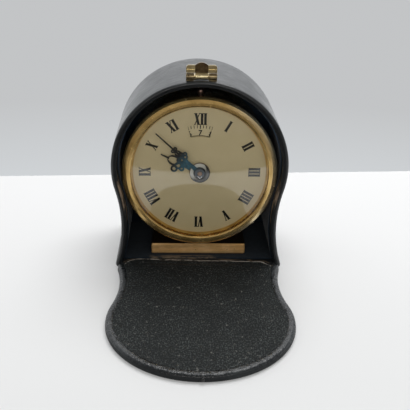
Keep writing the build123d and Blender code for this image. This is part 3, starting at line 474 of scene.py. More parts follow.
def crease_leather():
    """Black leather on which the flap's lining ends in a pale frayed line, with brown shreds behind it."""
    paint = Paint("crease_leather")
    waver = paint.times(paint.math("SUBTRACT", paint.noise(140), NOISE_MIDDLE), FRAY_WAVER)
    slant = paint.times(paint.axis("X"), FRAY_SLANT)
    past_corner = paint.math("SUBTRACT", paint.math("ABSOLUTE", paint.axis("X")), LINING_CORNER)
    past_corner = paint.math("MAXIMUM", past_corner, 0.0)
    bend = paint.times(paint.math("POWER", past_corner, 2.0), LINING_BEND)
    line = paint.math("ADD", paint.math("ADD", paint.axis("Y"), slant), waver)
    line = paint.math("ADD", line, bend)
    ridge = paint.within(line, FRAY_LINE - FRAY_HALF, FRAY_LINE + FRAY_HALF, FRAY_FADE)
    frayed = paint.times(ridge, paint.step(paint.noise(420, rough=0.7), 0.38, 0.52))
    behind = paint.within(line, FRAY_LINE + SHRED_START, FRAY_LINE + SHRED_END, SHRED_FADE)
    tatters = paint.step(paint.noise(260, detail=5, rough=0.7, stretch=SHRED_STRETCH), 0.48, 0.58)
    lining = paint.band(line, FRAY_LINE, FRAY_LINE - LINING_FADE)
    ground = paint.mix(lining, BLACK_LEATHER, speckled(paint))
    ground = paint.mix(paint.times(behind, tatters), ground, BROWN_HIDE)
    paint.colour(paint.mix(frayed, ground, PALE_FIBRE))
    paint.bump(paint.noise(1200, detail=3), strength=0.6, depth=NAP_DEPTH)
    paint.set(Roughness=0.75, Specular_IOR_Level=0.3)
    return paint.material


# Brass: a bright tone, a darker one and the colour of its tarnish spots
GILT_TONES = ((0.86, 0.6, 0.24), (0.62, 0.4, 0.13), (0.07, 0.035, 0.015))
BEZEL_TONES = ((0.8, 0.56, 0.23), (0.57, 0.37, 0.125), (0.22, 0.13, 0.05))
FOOT_TONES = ((0.98, 0.64, 0.29), (0.8, 0.47, 0.18), (0.2, 0.11, 0.05))
HASP_TONES = ((0.6, 0.48, 0.26), (0.16, 0.11, 0.06), (0.05, 0.035, 0.02))
# Painted highlight: the leaf's brass is toned paler and brighter than the rest of the hasp
LEAF_TONES_PAINTED_HIGHLIGHT = ((0.9, 0.78, 0.48), (0.52, 0.4, 0.21), (0.06, 0.04, 0.02))
# Painted shade: the knuckle brass is toned darker than the rest of the hasp to stand for the shade on the
# knuckles
KNUCKLE_TONES_PAINTED_SHADE = ((0.42, 0.33, 0.18), (0.12, 0.085, 0.05), (0.03, 0.02, 0.01))
BUTTON_TONES = ((0.34, 0.24, 0.19), (0.16, 0.1, 0.08), (0.03, 0.015, 0.01))
SPOT_SOFTNESS = 0.08
SPOT_DULLING = 0.3


def brass(name, tones, rough, spots=0.6):
    """Worn gilt brass with tarnish spots, fewer where the number for spots is high."""
    bright, dark, spot = tones
    paint = Paint(name)
    tone = paint.ramp(paint.noise(160, detail=3), (0.35, dark), (0.65, bright))
    pits = paint.step(paint.noise(650, rough=0.7), spots, spots + SPOT_SOFTNESS)
    paint.colour(paint.mix(pits, tone, spot))
    paint.rough(paint.ramp(pits, (0.0, rough), (1.0, rough + SPOT_DULLING)))
    paint.set(Metallic=1.0)
    return paint


# Painted highlight: a pale band along the bezel's outer edge on its right side
PAINTED_HIGHLIGHT_BRASS = (1.0, 0.84, 0.54)
HIGHLIGHT_START = BEZEL_RADIUS - 2.8 * MM
HIGHLIGHT_FULL = BEZEL_RADIUS - 0.9 * MM
HIGHLIGHT_LEFT = 10 * MM
HIGHLIGHT_RIGHT = 22 * MM


def bezel_brass():
    """Gilt brass with a pale painted highlight along the outer edge of its right side."""
    paint = brass("bezel_brass", BEZEL_TONES, 0.24, spots=0.66)
    rim = paint.band(paint.from_clock_axis(), HIGHLIGHT_START, HIGHLIGHT_FULL)
    # painted highlight on the outer edge of the right side
    highlight = paint.times(rim, paint.band(paint.axis("X"), HIGHLIGHT_LEFT, HIGHLIGHT_RIGHT))
    paint.colour(paint.mix(highlight, paint.tone(), PAINTED_HIGHLIGHT_BRASS))
    paint.set(Metallic=0.9)
    return paint.material


TAB_HALF = 2.7 * MM
TAB_FADE = 0.15 * MM
TAB_LOW = HEIGHT + 2.9 * MM
TAB_FULL_LOW = HEIGHT + 3.3 * MM
TAB_DARK = (0.1, 0.068, 0.04)
TAB_LIGHT = (0.24, 0.17, 0.09)


def hasp_leaf_brass():
    """Brass toned pale and bright as a painted highlight, its middle tab brown."""
    # painted highlight: pale bright tones for the leaf
    paint = brass("hasp_leaf_brass", LEAF_TONES_PAINTED_HIGHLIGHT, 0.28)
    middle = paint.within(paint.axis("X"), -TAB_HALF, TAB_HALF, TAB_FADE)
    above = paint.band(paint.axis("Z"), TAB_LOW, TAB_FULL_LOW)
    brown_tab = paint.ramp(paint.noise(420, detail=3), (0.35, TAB_DARK), (0.7, TAB_LIGHT))
    paint.colour(paint.mix(paint.times(middle, above), paint.tone(), brown_tab))
    return paint.material


STREAK_BROWN = (0.36, 0.2, 0.08)
STREAK_STRETCH = (0.06, 1.0, 1.0)
# Darker brown towards the lower edge of the bar
LOWER_EDGE_DARK = (0.12, 0.07, 0.035)
LOWER_EDGE_SHARE = 0.7
LOWER_EDGE_TOP = FOOT_LOW + 1.3 * MM
LOWER_EDGE_FULL_TOP = FOOT_LOW + 0.3 * MM
# Painted shade: the top behind the front edge is painted dark, standing for the dark inside that it mirrors
FOOT_PAINTED_SHADE = (0.03, 0.02, 0.012)
SHADE_START = FOOT_FRONT + 0.6 * MM
SHADE_FULL = FOOT_FRONT + 1.0 * MM


def foot_brass():
    """Satin brass with long streaks, darker along its lower edge, painted shade on the top behind its
    front.
    """
    paint = brass("foot_brass", FOOT_TONES, 0.42, spots=0.62)
    streaks = paint.ramp(paint.noise(900, rough=0.7, stretch=STREAK_STRETCH), (0.42, 0.0), (0.7, 0.6))
    tone = paint.mix(streaks, paint.tone(), STREAK_BROWN)
    # darker towards the lower edge
    lower_edge = paint.band(paint.axis("Z"), LOWER_EDGE_TOP, LOWER_EDGE_FULL_TOP)
    tone = paint.mix(paint.times(lower_edge, LOWER_EDGE_SHARE), tone, LOWER_EDGE_DARK)
    # painted shade on the top behind the front edge
    behind = paint.band(paint.axis("Y"), SHADE_START, SHADE_FULL)
    paint.colour(paint.mix(behind, tone, FOOT_PAINTED_SHADE))
    paint.set(Metallic=0.5)
    return paint.material


# Quiet finishes: the two tones that they vary between
INK_TONES = ((0.004, 0.004, 0.004), (0.01, 0.01, 0.01))
DIAL_TONES = ((0.6, 0.49, 0.28), (0.645, 0.53, 0.31))
DISC_TONES = ((0.62, 0.52, 0.3), (0.67, 0.56, 0.34))
PLATE_TONES = ((0.36, 0.25, 0.1), (0.45, 0.32, 0.14))
STEEL_TONES = ((0.2, 0.2, 0.21), (0.28, 0.28, 0.29))
STUD_TONES = ((0.02, 0.021, 0.022), (0.05, 0.05, 0.048))
NUT_TONES = ((0.5, 0.33, 0.26), (0.66, 0.5, 0.42))


def plain(name, tones, grain, rough, metallic=0.0, shine=0.5):
    """A quiet finish that varies a little."""
    low, high = tones
    paint = Paint(name)
    paint.colour(paint.ramp(paint.noise(grain), (0.3, low), (0.7, high)))
    paint.set(Roughness=rough, Metallic=metallic, Specular_IOR_Level=shine)
    return paint.material


TEAL = (0.03, 0.145, 0.22)
BLUE_BLACK = (0.009, 0.012, 0.017)
HAND_TEAL_END = 8.5 * MM
HAND_BLACK_START = 13.0 * MM
HUB_REACH = 5 * MM
HOUR_HUB_STOPS = ((0.0, (0.6, 0.6, 0.57)), (0.86, (0.66, 0.65, 0.6)), (0.9, (0.16, 0.1, 0.07)))
HOUR_HUB_EDGE = 4.7 * MM
HOUR_HUB_END = 4.85 * MM
MINUTE_HUB_STOPS = (
    (0.0, (0.16, 0.17, 0.19)), (0.38, (0.08, 0.11, 0.15)), (0.46, (0.012, 0.018, 0.025)),
    (0.58, (0.012, 0.016, 0.02)), (0.64, (0.12, 0.125, 0.13)), (0.8, (0.13, 0.135, 0.14)),
    (0.86, (0.01, 0.012, 0.014)),
)
MINUTE_HUB_EDGE = 2.9 * MM
MINUTE_HUB_END = 3.2 * MM
TAIL_START = -1.6 * MM
TAIL_END = -1.0 * MM
BLUE_START = 2.0 * MM
BLUE_FULL = 3.2 * MM


def blued(paint, reach):
    """Bright teal near the middle, nearly black towards the tips."""
    darkening = paint.band(reach, HAND_TEAL_END, HAND_BLACK_START)
    steel = paint.ramp(darkening, (0.0, TEAL), (1.0, BLUE_BLACK))
    mottle = paint.ramp(paint.noise(450, detail=3), (0.35, 0.5), (0.65, 1.0))
    return paint.mix(1.0, steel, mottle, "MULTIPLY")


def hour_hand_steel():
    """A blued hand with a pale polished hub that has a thin brown rim."""
    paint = Paint("hour_hand_steel")
    reach = paint.from_clock_axis()
    hub = paint.ramp(paint.band(reach, 0.0, HUB_REACH), *HOUR_HUB_STOPS)
    paint.colour(paint.mix(paint.band(reach, HOUR_HUB_EDGE, HOUR_HUB_END), hub, blued(paint, reach)))
    paint.set(Metallic=0.45, Roughness=0.3)
    return paint.material


def minute_hand_steel(node):
    """A blued hand whose hub and tail are greyer, with dark edges."""
    paint = Paint("minute_hand_steel")
    tip = max((v.co for v in node.data.vertices), key=lambda p: p.x**2 + (p.z - CLOCK_Z) ** 2)
    aim = Vector((tip.x, 0, tip.z - CLOCK_Z)).normalized()
    reach = paint.from_clock_axis()
    height = paint.math("SUBTRACT", paint.axis("Z"), CLOCK_Z)
    along = paint.math("ADD", paint.times(paint.axis("X"), aim.x), paint.times(height, aim.z))
    rings = paint.ramp(paint.band(reach, 0.0, HUB_REACH), *MINUTE_HUB_STOPS)
    outside = paint.band(reach, MINUTE_HUB_EDGE, MINUTE_HUB_END)
    tail_ends = paint.times(paint.band(along, TAIL_START, TAIL_END), outside)
    forward = paint.band(along, BLUE_START, BLUE_FULL)
    paint.colour(paint.mix(forward, paint.mix(tail_ends, rings, BLUE_BLACK), blued(paint, reach)))
    paint.set(Metallic=0.45, Roughness=0.28)
    return paint.material


GLASS_MIRROR = 0.062
GLASS_TINT = (0.98, 0.985, 0.98, 1)
ASLANT_POWER = 5.0


def clear_glass():
    """What lies behind shows through, and the surface mirrors more the more it is seen aslant."""
    paint = Paint("clear_glass")
    clear = paint.add("ShaderNodeBsdfTransparent")
    clear.inputs["Color"].default_value = GLASS_TINT
    gloss = paint.add("ShaderNodeBsdfGlossy")
    paint.join(paint.ramp(paint.noise(90), (0.3, 0.01), (0.8, 0.05)), gloss.inputs["Roughness"])
    aslant = paint.add("ShaderNodeLayerWeight")
    aslant.inputs["Blend"].default_value = 0.5
    steep = paint.math("POWER", aslant.outputs["Facing"], ASLANT_POWER)
    mirror = paint.math("MULTIPLY_ADD", steep, 1 - GLASS_MIRROR, GLASS_MIRROR)
    paint.surface(paint.blend(mirror, clear.outputs[0], gloss.outputs[0]))
    return paint.material


CASE_LEATHER = leather("case_leather", 0.3, CASE_GRAIN_STRETCH, CASE_GRAIN_DEPTH)
FLAP_LEATHER = leather("flap_leather", 0.2, FLAP_GRAIN_STRETCH, FLAP_GRAIN_DEPTH, shine=0.45)
FLAP_EDGE_LEATHER = leather("flap_edge_leather", 0.5, FLAP_GRAIN_STRETCH, EDGE_GRAIN_DEPTH, shine=0.3)
LIP_LEATHER = lip_leather()
SUEDE = suede()
INK = plain("printed_ink", INK_TONES, 900, 0.6, shine=0.1)

slot_materials = {
    "case_leather": CASE_LEATHER,
    "velvet": velvet(),
    "flap_suede": SUEDE,
    "hasp_brass": brass("hasp_brass", HASP_TONES, 0.3).material,
    "gilt_brass": brass("gilt_brass", GILT_TONES, 0.24).material,
    "glass": clear_glass(),
    "dial_metal": plain("dial_metal", DIAL_TONES, 120, 0.45, metallic=0.1),
    "alarm_disc_metal": plain("alarm_disc_metal", DISC_TONES, 120, 0.45, metallic=0.1),
    "blued_steel": hour_hand_steel(),
    "plate_brass": plain("plate_brass", PLATE_TONES, 300, 0.4, metallic=1.0),
    "steel": plain("steel", STEEL_TONES, 300, 0.35, metallic=1.0),
}
for subpart in frame["record"]["subparts"]:
    materials = nodes[subpart["node"]].data.materials
    materials.clear()
    materials.append(slot_materials[subpart["material_slot"]])
own_materials = {
    "bezel": bezel_brass(),
    "foot_bar": foot_brass(),
    "stop_button": brass("button_brass", BUTTON_TONES, 0.3).material,
    "keeper_stud": plain("blackened_stud", STUD_TONES, 900, 0.45, metallic=0.6),
    "hand_nut": plain("nut_brass", NUT_TONES, 700, 0.3, metallic=1.0),
    "minute_hand": minute_hand_steel(nodes["minute_hand"]),
    "hasp_leaf": hasp_leaf_brass(),
    # the knuckles' darker brass is painted shade
    "hasp_base": brass("knuckle_brass_painted_shade", KNUCKLE_TONES_PAINTED_SHADE, 0.32).material,
}
for name, material in own_materials.items():
    nodes[name].data.materials[0] = material


# Leather case: one rounded ring swept round the outline
def quarter(count):
    """Angles of a quarter turn, without its start."""
    return [pi / 2 * i / count for i in range(1, count + 1)]


def ring_profile(outside_steps=8, front_steps=5, round_steps=4):
    """Places (inset, y) round the wall: outside, front edge, lip, inside and back edge."""
    span = BACK - FRONT - 2 * EDGE_ROUND
    inner = WALL - SUEDE_DROP
    lip_end = FRONT + LIP_DEPTH
    bends = quarter(round_steps)
    outside = [(0, BACK - EDGE_ROUND - span * i / outside_steps) for i in range(outside_steps + 1)]
    edge = [(EDGE_ROUND * (1 - cos(a)), FRONT + EDGE_ROUND * (1 - sin(a))) for a in quarter(front_steps)]
    for start in LAYER_LINES:
        groove = (start + LAYER_WIDTH / 2, FRONT + LAYER_WIDTH)
        edge += [(start, FRONT), groove, (start + LAYER_WIDTH, FRONT)]
    turn = [(WALL - LIP_ROUND * (1 - sin(a)), FRONT + LIP_ROUND * (1 - cos(a))) for a in bends]
    lip = [(WALL, lip_end), (inner, lip_end + SUEDE_DROP)]
    inside = [(inner, BACK - LIP_ROUND)]
    back = [(inner - LIP_ROUND * (1 - cos(a)), BACK - LIP_ROUND * (1 - sin(a))) for a in bends]
    rim_angles = [0.0] + bends[:-1]
    rim = [(EDGE_ROUND * (1 - sin(a)), BACK - EDGE_ROUND * (1 - cos(a))) for a in rim_angles]
    lip_rows = range(len(outside + edge) - 1, len(outside + edge + turn))
    return outside + edge + turn + lip + inside + back + rim, lip_rows


def case_ring(floor_steps=10, floor_zone=4 * MM):
    """The covered wall and floor, and the faces of its lip; leather is uneven above the floor."""
    profile, lip_rows = ring_profile()
    verts = []
    for inset, y in profile:
        bottom = min(inset, WALL)
        line = full_line(inset, bottom, 0.0, max(CORNER - inset, SHARP))
        width = line[0][0]
        line += [(-width + 2 * width * i / floor_steps, bottom) for i in range(1, floor_steps)]
        for x, z in line:
            if z < floor_zone:
                verts.append((x, y, z))
                continue
            away = Vector((x, 0, z - ARCH_Z)).normalized()
            lift = uneven((x, y, z), LEATHER_WAVE, LEATHER_DROP, LEATHER_SEED) - LEATHER_DROP
            verts.append((x + away.x * lift, y, z + away.z * lift))
    columns = len(line)
    ring = add_mesh("case_cover", verts, grid_faces(len(profile), columns, True, True))
    return ring, [row * columns + c for row in lip_rows for c in range(columns)]


case_cover, lip_faces = case_ring()
put(case_cover, "case", CASE_LEATHER)
paint_faces(case_cover, LIP_LEATHER, lip_faces)
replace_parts(case_cover, "case_shell")

# Flap: a board with a rolled border all round but at the crease, and a suede sheet let into it
BORDER_SHARES = (
    (0.2, 0.0), (0.06, 0.08), (0.0, 0.3), (0.0, 0.52), (0.04, 0.72), (0.13, 0.88), (0.28, 0.97),
    (0.45, 1.0), (0.7, 0.99), (0.88, 0.97), (0.97, 0.94), (1.0, 0.9), (1.04, 0.88), (1.04, 0.0),
)
EDGE_ROWS = 4
BORDER_SMOOTH_ANGLE = 50
DENTED_SHARE = 0.6
BORDER_DENT = 0.12 * MM
BORDER_WAVE = 10 * MM
BORDER_SEED = 5.0
SHEET_TIP_HALF = 0.15 * MM
SHEET_EDGE = 2 * MM
SHEET_WAVE = 12 * MM
MIDDLE_LEVEL = 1.6 * MM
UNDERSIDE_SEED = 7.0
SUEDE_DENT = 0.15 * MM
SUEDE_SEED = 9.0
SUEDE_UNDER_SHARE = 0.95


def flap_y(along):
    """Where a height of the closed flap lies when the flap is open."""
    return flap_high[1] - (along - CREASE_Z)


def flap_band():
    """Rolled border; its section's points are shares of the border's width and of the flap's thickness."""
    verts = []
    round_x, round_z = corner_arc(FLAP_INSET, CREASE_Z, FLAP_DROP, FLAP_CORNER)[:2]
    for across, level in BORDER_SHARES:
        line = full_line(FLAP_INSET + across * FLAP_BORDER, CREASE_Z, FLAP_DROP, SHARP)
        for x, z in line:
            dent = 0
            if level > DENTED_SHARE:
                dent = abs(uneven((x, z, level), BORDER_WAVE, BORDER_DENT, BORDER_SEED))
            if z < round_z:
                widest = round_x + sqrt(max(FLAP_CORNER**2 - (round_z - z) ** 2, 0))
                x = min(max(x, -widest), widest)
            verts.append((x, flap_y(z), level * FLAP_TOP - dent))
    columns = len(line)
    rows = len(BORDER_SHARES)
    faces = grid_faces(rows, columns, True, False)
    faces.append(tuple(r * columns for r in range(rows)))
    faces.append(tuple(r * columns + columns - 1 for r in reversed(range(rows))))
    band = add_mesh("flap_border", verts, faces, BORDER_SMOOTH_ANGLE)
    return band, range(EDGE_ROWS * (columns - 1))


def flap_sheet(name, inset, low, high, depth, seed, rows=60, columns=28):
    """A slab that fills the flap's outline, its upper face a little uneven."""
    tip = CREASE_Z + FLAP_LENGTH + FLAP_INSET - inset
    upper, lower = [], []
    for r in range(rows + 1):
        along = CREASE_Z + (tip - CREASE_Z) * sin(pi / 2 * r / rows)
        width = max(half_width(along, inset, FLAP_DROP), SHEET_TIP_HALF)
        for c in range(columns + 1):
            x = -width + 2 * width * c / columns
            edge = min(1.0, (width - abs(x)) / SHEET_EDGE)
            dent = abs(uneven((x, along, 0), SHEET_WAVE, depth, seed)) * edge
            upper.append((x, flap_y(along), high - dent))
            lower.append((x, flap_y(along), low))
    return add_mesh(name, upper + lower, slab_faces(rows + 1, columns + 1))


border, edge_faces = flap_band()
put(border, "flap", FLAP_LEATHER)
paint_faces(border, FLAP_EDGE_LEATHER, edge_faces)
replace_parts(border, "flap_board")
board_inset = FLAP_INSET + FLAP_BORDER
underside = flap_sheet("flap_underside", board_inset, 0.0, MIDDLE_LEVEL, 0.0, UNDERSIDE_SEED)
put(underside, "flap", FLAP_LEATHER)
suede_inset = FLAP_INSET + SUEDE_UNDER_SHARE * FLAP_BORDER
suede_level = FLAP_TOP - SUEDE_DROP
suede_sheet = flap_sheet("flap_suede", suede_inset, MIDDLE_LEVEL, suede_level, SUEDE_DENT, SUEDE_SEED)
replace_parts(put(suede_sheet, "flap", SUEDE), "flap_lining")

# Crease: a soft strip from the case floor to the flap
CREASE_OVERLAP = 1.2 * MM
CREASE_THICKNESS = 0.3 * MM
CREASE_DENT = 0.15 * MM
CREASE_WAVE = 4 * MM
CREASE_SEED = 3.0
FOLD_START = FRONT + 0.4 * MM
FOLD_END = FRONT - 2.2 * MM
FOLD_DIP = 0.25 * MM


def crease_strip(rows=16, columns=80):
    """A thin uneven strip with a shallow fold across it."""
    start, end = strip_high[1], flap_high[1] - CREASE_OVERLAP
    half = strip_high[0]
    upper, lower = [], []
    for r in range(rows):
        y = start + (end - start) * r / (rows - 1)
        fold = min(max((FOLD_START - y) / (FOLD_START - FOLD_END), 0), 1)
        for c in range(columns):
            x = -half + 2 * half * c / (columns - 1)
            dent = abs(uneven((x, y, 0), CREASE_WAVE, CREASE_DENT, CREASE_SEED))
            level = strip_high[2] - FOLD_DIP * sin(pi * fold) - dent
            upper.append((x, y, level))
            lower.append((x, y, level - CREASE_THICKNESS))
    return add_mesh("crease", upper + lower, slab_faces(rows, columns))


crease = crease_strip()
crease.data.materials.append(crease_leather())
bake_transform(crease)
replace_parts(crease, "hinge_strip")

# Dial print: numerals drawn as strokes, bases towards the centre
NUMERAL_LOW = 22.4 * MM
NUMERAL_HIGH = 27.8 * MM
PRINT_DEPTH = 0.03 * MM
THICK = 1.14 * MM
THIN = 0.42 * MM
SERIF = 0.34 * MM
SERIF_REACH = 0.36 * MM
ADVANCE = {"I": 1.5 * MM, "V": 2.75 * MM, "X": 2.85 * MM}
NUMERALS = ("XII", "I", "II", "III", "IIII", "V", "VI", "VII", "VIII", "IX", "X", "XI")
FULL_TURN = 360


def stroke(x0, y0, x1, y1, width):
    """A slanted stroke with level ends."""
    half = width / 2
    return [(x0 - half, y0), (x0 + half, y0), (x1 + half, y1), (x1 - half, y1)]


def serif(x, y, width, upward):
    """A level bar at the end of a stroke."""
    low, high = (y, y + SERIF) if upward else (y - SERIF, y)
    return stroke(x, low, x, high, width)


def letter(mark, x):
    """Quads of one letter from its left edge, between the numeral's inner and outer radius."""
    low, high, wide = NUMERAL_LOW, NUMERAL_HIGH, ADVANCE[mark]
    middle = x + wide / 2
    foot, thin_foot = THICK + SERIF_REACH, THIN + SERIF_REACH
    if mark == "I":
        ends = [serif(middle, low, foot, True), serif(middle, high, foot, False)]
        return ends + [stroke(middle, low, middle, high, THICK)]
    thick_top, thin_top = x + foot / 2, x + wide - thin_foot / 2
    ends = [serif(thick_top, high, foot, False), serif(thin_top, high, thin_foot, False)]
    thick_end, thin_end = middle, middle
    if mark == "X":
        thick_end, thin_end = x + wide - foot / 2, x + thin_foot / 2
        ends += [serif(thick_end, low, foot, True), serif(thin_end, low, thin_foot, True)]
    thick = stroke(thick_end, low, thick_top, high, THICK)
    return ends + [thick, stroke(thin_end, low, thin_top, high, THIN)]


def prism(verts, faces, outline, place):
    """A thin printed patch standing on a face."""
    start, count = len(verts), len(outline)
    top = start + count
    for lift in (0, PRINT_DEPTH):
        verts.extend(place(x, y, lift) for x, y in outline)
    faces.append(tuple(top + i for i in range(count)))
    faces.append(tuple(start + i for i in reversed(range(count))))
    for i in range(count):
        following = (i + 1) % count
        faces.append((start + i, start + following, top + following, top + i))


def on_face(angle, level):
    """Places a drawn point on a face that looks to the front, turned clockwise from twelve."""
    c, s = cos(radians(angle)), sin(radians(angle))
    return lambda x, y, lift: (x * c + y * s, level - lift, CLOCK_Z - x * s + y * c)


def dial_print():
    """All hour numerals, each turned to its place."""
    verts, faces = [], []
    for hour, word in enumerate(NUMERALS):
        x = -sum(ADVANCE[mark] for mark in word) / 2
        place = on_face(FULL_TURN * hour / len(NUMERALS), DIAL_Y)
        for mark in word:
            for quad in letter(mark, x):
                prism(verts, faces, quad, place)
            x += ADVANCE[mark]
    return add_mesh("dial_print", verts, faces)


put(dial_print(), "clock", INK)

# Alarm disc print: two rounds of twelve small numerals, with quarter marks outside them and a ring inside
ALARM_SET = 7
HOUR_COUNT = 12
DISC_HOURS = 2 * HOUR_COUNT
HOUR_TURN = FULL_TURN / DISC_HOURS
HOUR_QUARTERS = 4
RING_STEPS = 6
MARK_OUTER = 22.2 * MM
MARK_INNER = 20.6 * MM
HOUR_MARK_INNER = 20.35 * MM
MARK_WIDTH = 0.3 * MM
HOUR_MARK_WIDTH = 0.45 * MM
DIGIT_PLACE = 18.4 * MM
DIGIT_SIZE = 3.35 * MM
DIGIT_BOLDNESS = 0.1 * MM
DIGIT_FINENESS = 3
RING_PLACE = 17.15 * MM
RING_WIDTH = 0.24 * MM


def digit_mesh(text):
    """A small flat number round its own middle."""
    curve = bpy.data.curves.new("digit_" + text, "FONT")
    curve.body = text
    curve.size = DIGIT_SIZE
    curve.align_x = "CENTER"
    curve.align_y = "CENTER"
    curve.resolution_u = DIGIT_FINENESS
    curve.extrude = PRINT_DEPTH / 2
    curve.offset = DIGIT_BOLDNESS
    holder = bpy.data.objects.new("digit_" + text, curve)
    bpy.context.scene.collection.objects.link(holder)
    bpy.context.view_layer.update()
    mesh = bpy.data.meshes.new_from_object(holder.evaluated_get(bpy.context.evaluated_depsgraph_get()))
    bpy.data.objects.remove(holder)
    return mesh


def ring_piece(radius, width, start, end):
    """A short arc of a printed ring, as a quad."""
    near, far = radius - width / 2, radius + width / 2
    corners = ((far, end), (far, start), (near, start), (near, end))
    return [(r * sin(radians(a)), r * cos(radians(a))) for r, a in corners]


def alarm_print():
    """Numbers, marks and ring of the alarm disc, its set hour at the top."""
    verts, faces = [], []
    for i in range(DISC_HOURS):
        angle = HOUR_TURN * i
        place = on_face(angle, DISC_Y)
        mesh = digit_mesh(str((ALARM_SET + i - 1) % HOUR_COUNT + 1))
        start = len(verts)
        verts.extend(place(v.co.x, v.co.y + DIGIT_PLACE, v.co.z + PRINT_DEPTH / 2) for v in mesh.vertices)
        faces.extend(tuple(start + k for k in polygon.vertices) for polygon in mesh.polygons)
        bpy.data.meshes.remove(mesh)
        for part in range(HOUR_QUARTERS):
            inner, width = (MARK_INNER, MARK_WIDTH) if part else (HOUR_MARK_INNER, HOUR_MARK_WIDTH)
            mark = stroke(0, inner, 0, MARK_OUTER, width)
            prism(verts, faces, mark, on_face(angle + HOUR_TURN * part / HOUR_QUARTERS, DISC_Y))
        for step in range(RING_STEPS):
            ends = (HOUR_TURN * step / RING_STEPS, HOUR_TURN * (step + 1) / RING_STEPS)
            prism(verts, faces, ring_piece(RING_PLACE, RING_WIDTH, *ends), place)
    return add_mesh("alarm_print", verts, faces)


put(alarm_print(), "alarm_disc", INK)

# Floor: pale and matt, ending in a slanted line behind
FLOOR_SPREAD = 1.5
FLOOR_END = 0.1
FLOOR_SLANT = 0.056
FLOOR_ALBEDO = 0.76
FLOOR_GREYER_SHARE = 0.985
GLOW_SHARE = 0.2
FRONT_GLOW = (0.82, 0.83, 0.82)
BACK_GLOW = (1.0, 1.0, 1.0)
GLOW_START = -0.13
GLOW_END = 0.0
DIM_LOW = (0.13, 0.115, 0.09)
DIM_HIGH = (0.16, 0.145, 0.115)
DIM_START = -0.15
DIM_FADE = 0.01


def rays(paint, *kinds):
    """1 for any of the named kinds of ray."""
    path = paint.add("ShaderNodeLightPath")
    seen = path.outputs[kinds[0]]
    for kind in kinds[1:]:
        seen = paint.math("MAXIMUM", seen, path.outputs[kind])
    return seen


def floor_material():
    """Matt white that glows a little, and that mirrors see go dim in front of the flap."""
    paint = Paint("floor_white")
    matt = paint.add("ShaderNodeBsdfDiffuse")
    greyer = FLOOR_ALBEDO * FLOOR_GREYER_SHARE
    albedo = paint.ramp(paint.noise(3, detail=2), (0.3, greyer), (0.7, FLOOR_ALBEDO))
    paint.join(albedo, matt.inputs["Color"])
    forward = paint.band(paint.axis("Y"), GLOW_START, GLOW_END)
    glow = paint.glow(paint.ramp(forward, (0.0, FRONT_GLOW), (1.0, BACK_GLOW)))
    seen = rays(paint, "Is Camera Ray", "Is Glossy Ray", "Is Transmission Ray")
    white = paint.blend(paint.times(seen, GLOW_SHARE), matt.outputs[0], glow)
    dim = paint.glow(paint.ramp(paint.noise(4, detail=2), (0.3, DIM_LOW), (0.7, DIM_HIGH)))
    beyond = paint.band(paint.axis("Y"), DIM_START, DIM_START - DIM_FADE)
    mirrored = paint.times(rays(paint, "Is Glossy Ray"), beyond)
    paint.surface(paint.blend(mirrored, white, dim))
    return paint.material


left_end = FLOOR_END - FLOOR_SLANT * FLOOR_SPREAD
right_end = FLOOR_END + FLOOR_SLANT * FLOOR_SPREAD
floor_corners = [
    (-FLOOR_SPREAD, -FLOOR_SPREAD, 0), (FLOOR_SPREAD, -FLOOR_SPREAD, 0),
    (FLOOR_SPREAD, right_end, 0), (-FLOOR_SPREAD, left_end, 0),
]
floor = add_mesh("floor", floor_corners, [(0, 1, 2, 3)])
floor.data.materials.append(floor_material())

# Light: a grey room that is dim in front and pale low behind, and three lamps
ROOM_SIDES = (0.52, 0.54, 0.56)
ROOM_FRONT = (0.24, 0.22, 0.19)
ROOM_BEHIND = (1.0, 1.03, 1.06)
ROOM_LOW_BEHIND = (1.5, 1.53, 1.55)
SEEN_LOW = (0.635, 0.66, 0.68)
SEEN_HIGH = (0.545, 0.555, 0.565)

# Directions in the room, as shares of a unit vector
DIM_SIDE_START = -0.15
DIM_SIDE_FULL = -0.6
PALE_START = 0.5
PALE_FULL = 0.8
PALE_BOTTOM = -0.35
PALE_TOP = 0.08
PALE_FADE = 0.25
PALEST_START = 0.1
PALEST_FULL = -0.25
SEEN_BOTTOM = -0.37
SEEN_TOP = -0.26


class Room(Paint):
    """The world's nodes, by the same short way; a place is a direction here."""

    def __init__(self, name):
        world = bpy.data.worlds.new(name)
        world.use_nodes = True
        bpy.context.scene.world = world
        self.tree = world.node_tree
        self.shader = self.tree.nodes["Background"]
        self.place = self.add("ShaderNodeTexCoord").outputs["Generated"]


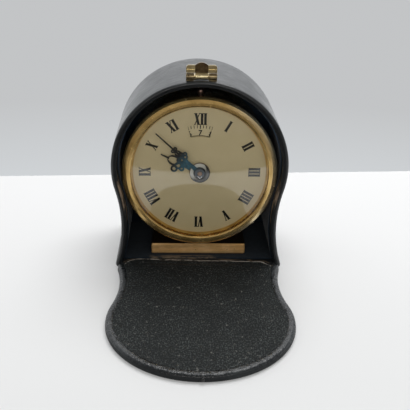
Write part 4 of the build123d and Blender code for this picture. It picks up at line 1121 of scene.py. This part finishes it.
def light_room():
    """Light from all round, and another, even colour for what the camera sees."""
    room = Room("room")
    backward, upward = room.axis("Y"), room.axis("Z")
    light = room.mix(room.band(backward, DIM_SIDE_START, DIM_SIDE_FULL), ROOM_SIDES, ROOM_FRONT)
    low = room.within(upward, PALE_BOTTOM, PALE_TOP, PALE_FADE)
    behind = room.times(low, room.band(backward, PALE_START, PALE_FULL))
    pale = room.mix(room.band(upward, PALEST_START, PALEST_FULL), ROOM_BEHIND, ROOM_LOW_BEHIND)
    light = room.mix(behind, light, pale)
    seen = room.ramp(room.band(upward, SEEN_BOTTOM, SEEN_TOP), (0.0, SEEN_LOW), (1.0, SEEN_HIGH))
    room.join(room.mix(rays(room, "Is Camera Ray"), light, seen), room.shader.inputs["Color"])


def area_lamp(name, place, target, width, height, power):
    """A rectangular lamp that shines on a target."""
    data = bpy.data.lights.new(name, "AREA")
    data.shape = "RECTANGLE"
    data.size = width
    data.size_y = height
    data.energy = power
    lamp = bpy.data.objects.new(name, data)
    lamp.location = place
    lamp.rotation_euler = (Vector(target) - Vector(place)).to_track_quat("-Z", "Y").to_euler()
    bpy.context.scene.collection.objects.link(lamp)


light_room()
area_lamp("overhead_lamp", place=(0.12, 0.3, 0.7), target=(0, 0, 0.03), width=0.6, height=0.4, power=4.7)
area_lamp("back_lamp", place=(-0.35, 0.75, 0.5), target=(0, 0, 0.08), width=2.0, height=0.6, power=2.2)
area_lamp("front_fill", place=(0.03, -0.85, 0.326), target=(0, 0, 0.04), width=0.8, height=0.1, power=1.6)

# Camera
flat_share = cos(CAMERA_PITCH)
forward = Vector((sin(CAMERA_YAW) * flat_share, cos(CAMERA_YAW) * flat_share, sin(CAMERA_PITCH)))
level = Vector((cos(CAMERA_YAW), -sin(CAMERA_YAW), 0))
above = level.cross(forward)
right = cos(CAMERA_ROLL) * level + sin(CAMERA_ROLL) * above
up = cos(CAMERA_ROLL) * above - sin(CAMERA_ROLL) * level
camera_data = bpy.data.cameras.new("camera")
camera_data.sensor_width = SENSOR_WIDTH
camera_data.sensor_fit = "HORIZONTAL"
camera_data.lens = FOCAL_PIXELS * SENSOR_WIDTH / IMAGE_SIZE
camera_data.clip_start = CLIP_START
camera = bpy.data.objects.new("camera", camera_data)
camera.matrix_world = Matrix.Translation(CAMERA_PLACE) @ Matrix((right, up, -forward)).transposed().to_4x4()
bpy.context.scene.collection.objects.link(camera)
bpy.context.scene.camera = camera

bpy.context.scene.view_settings.view_transform = "Standard"
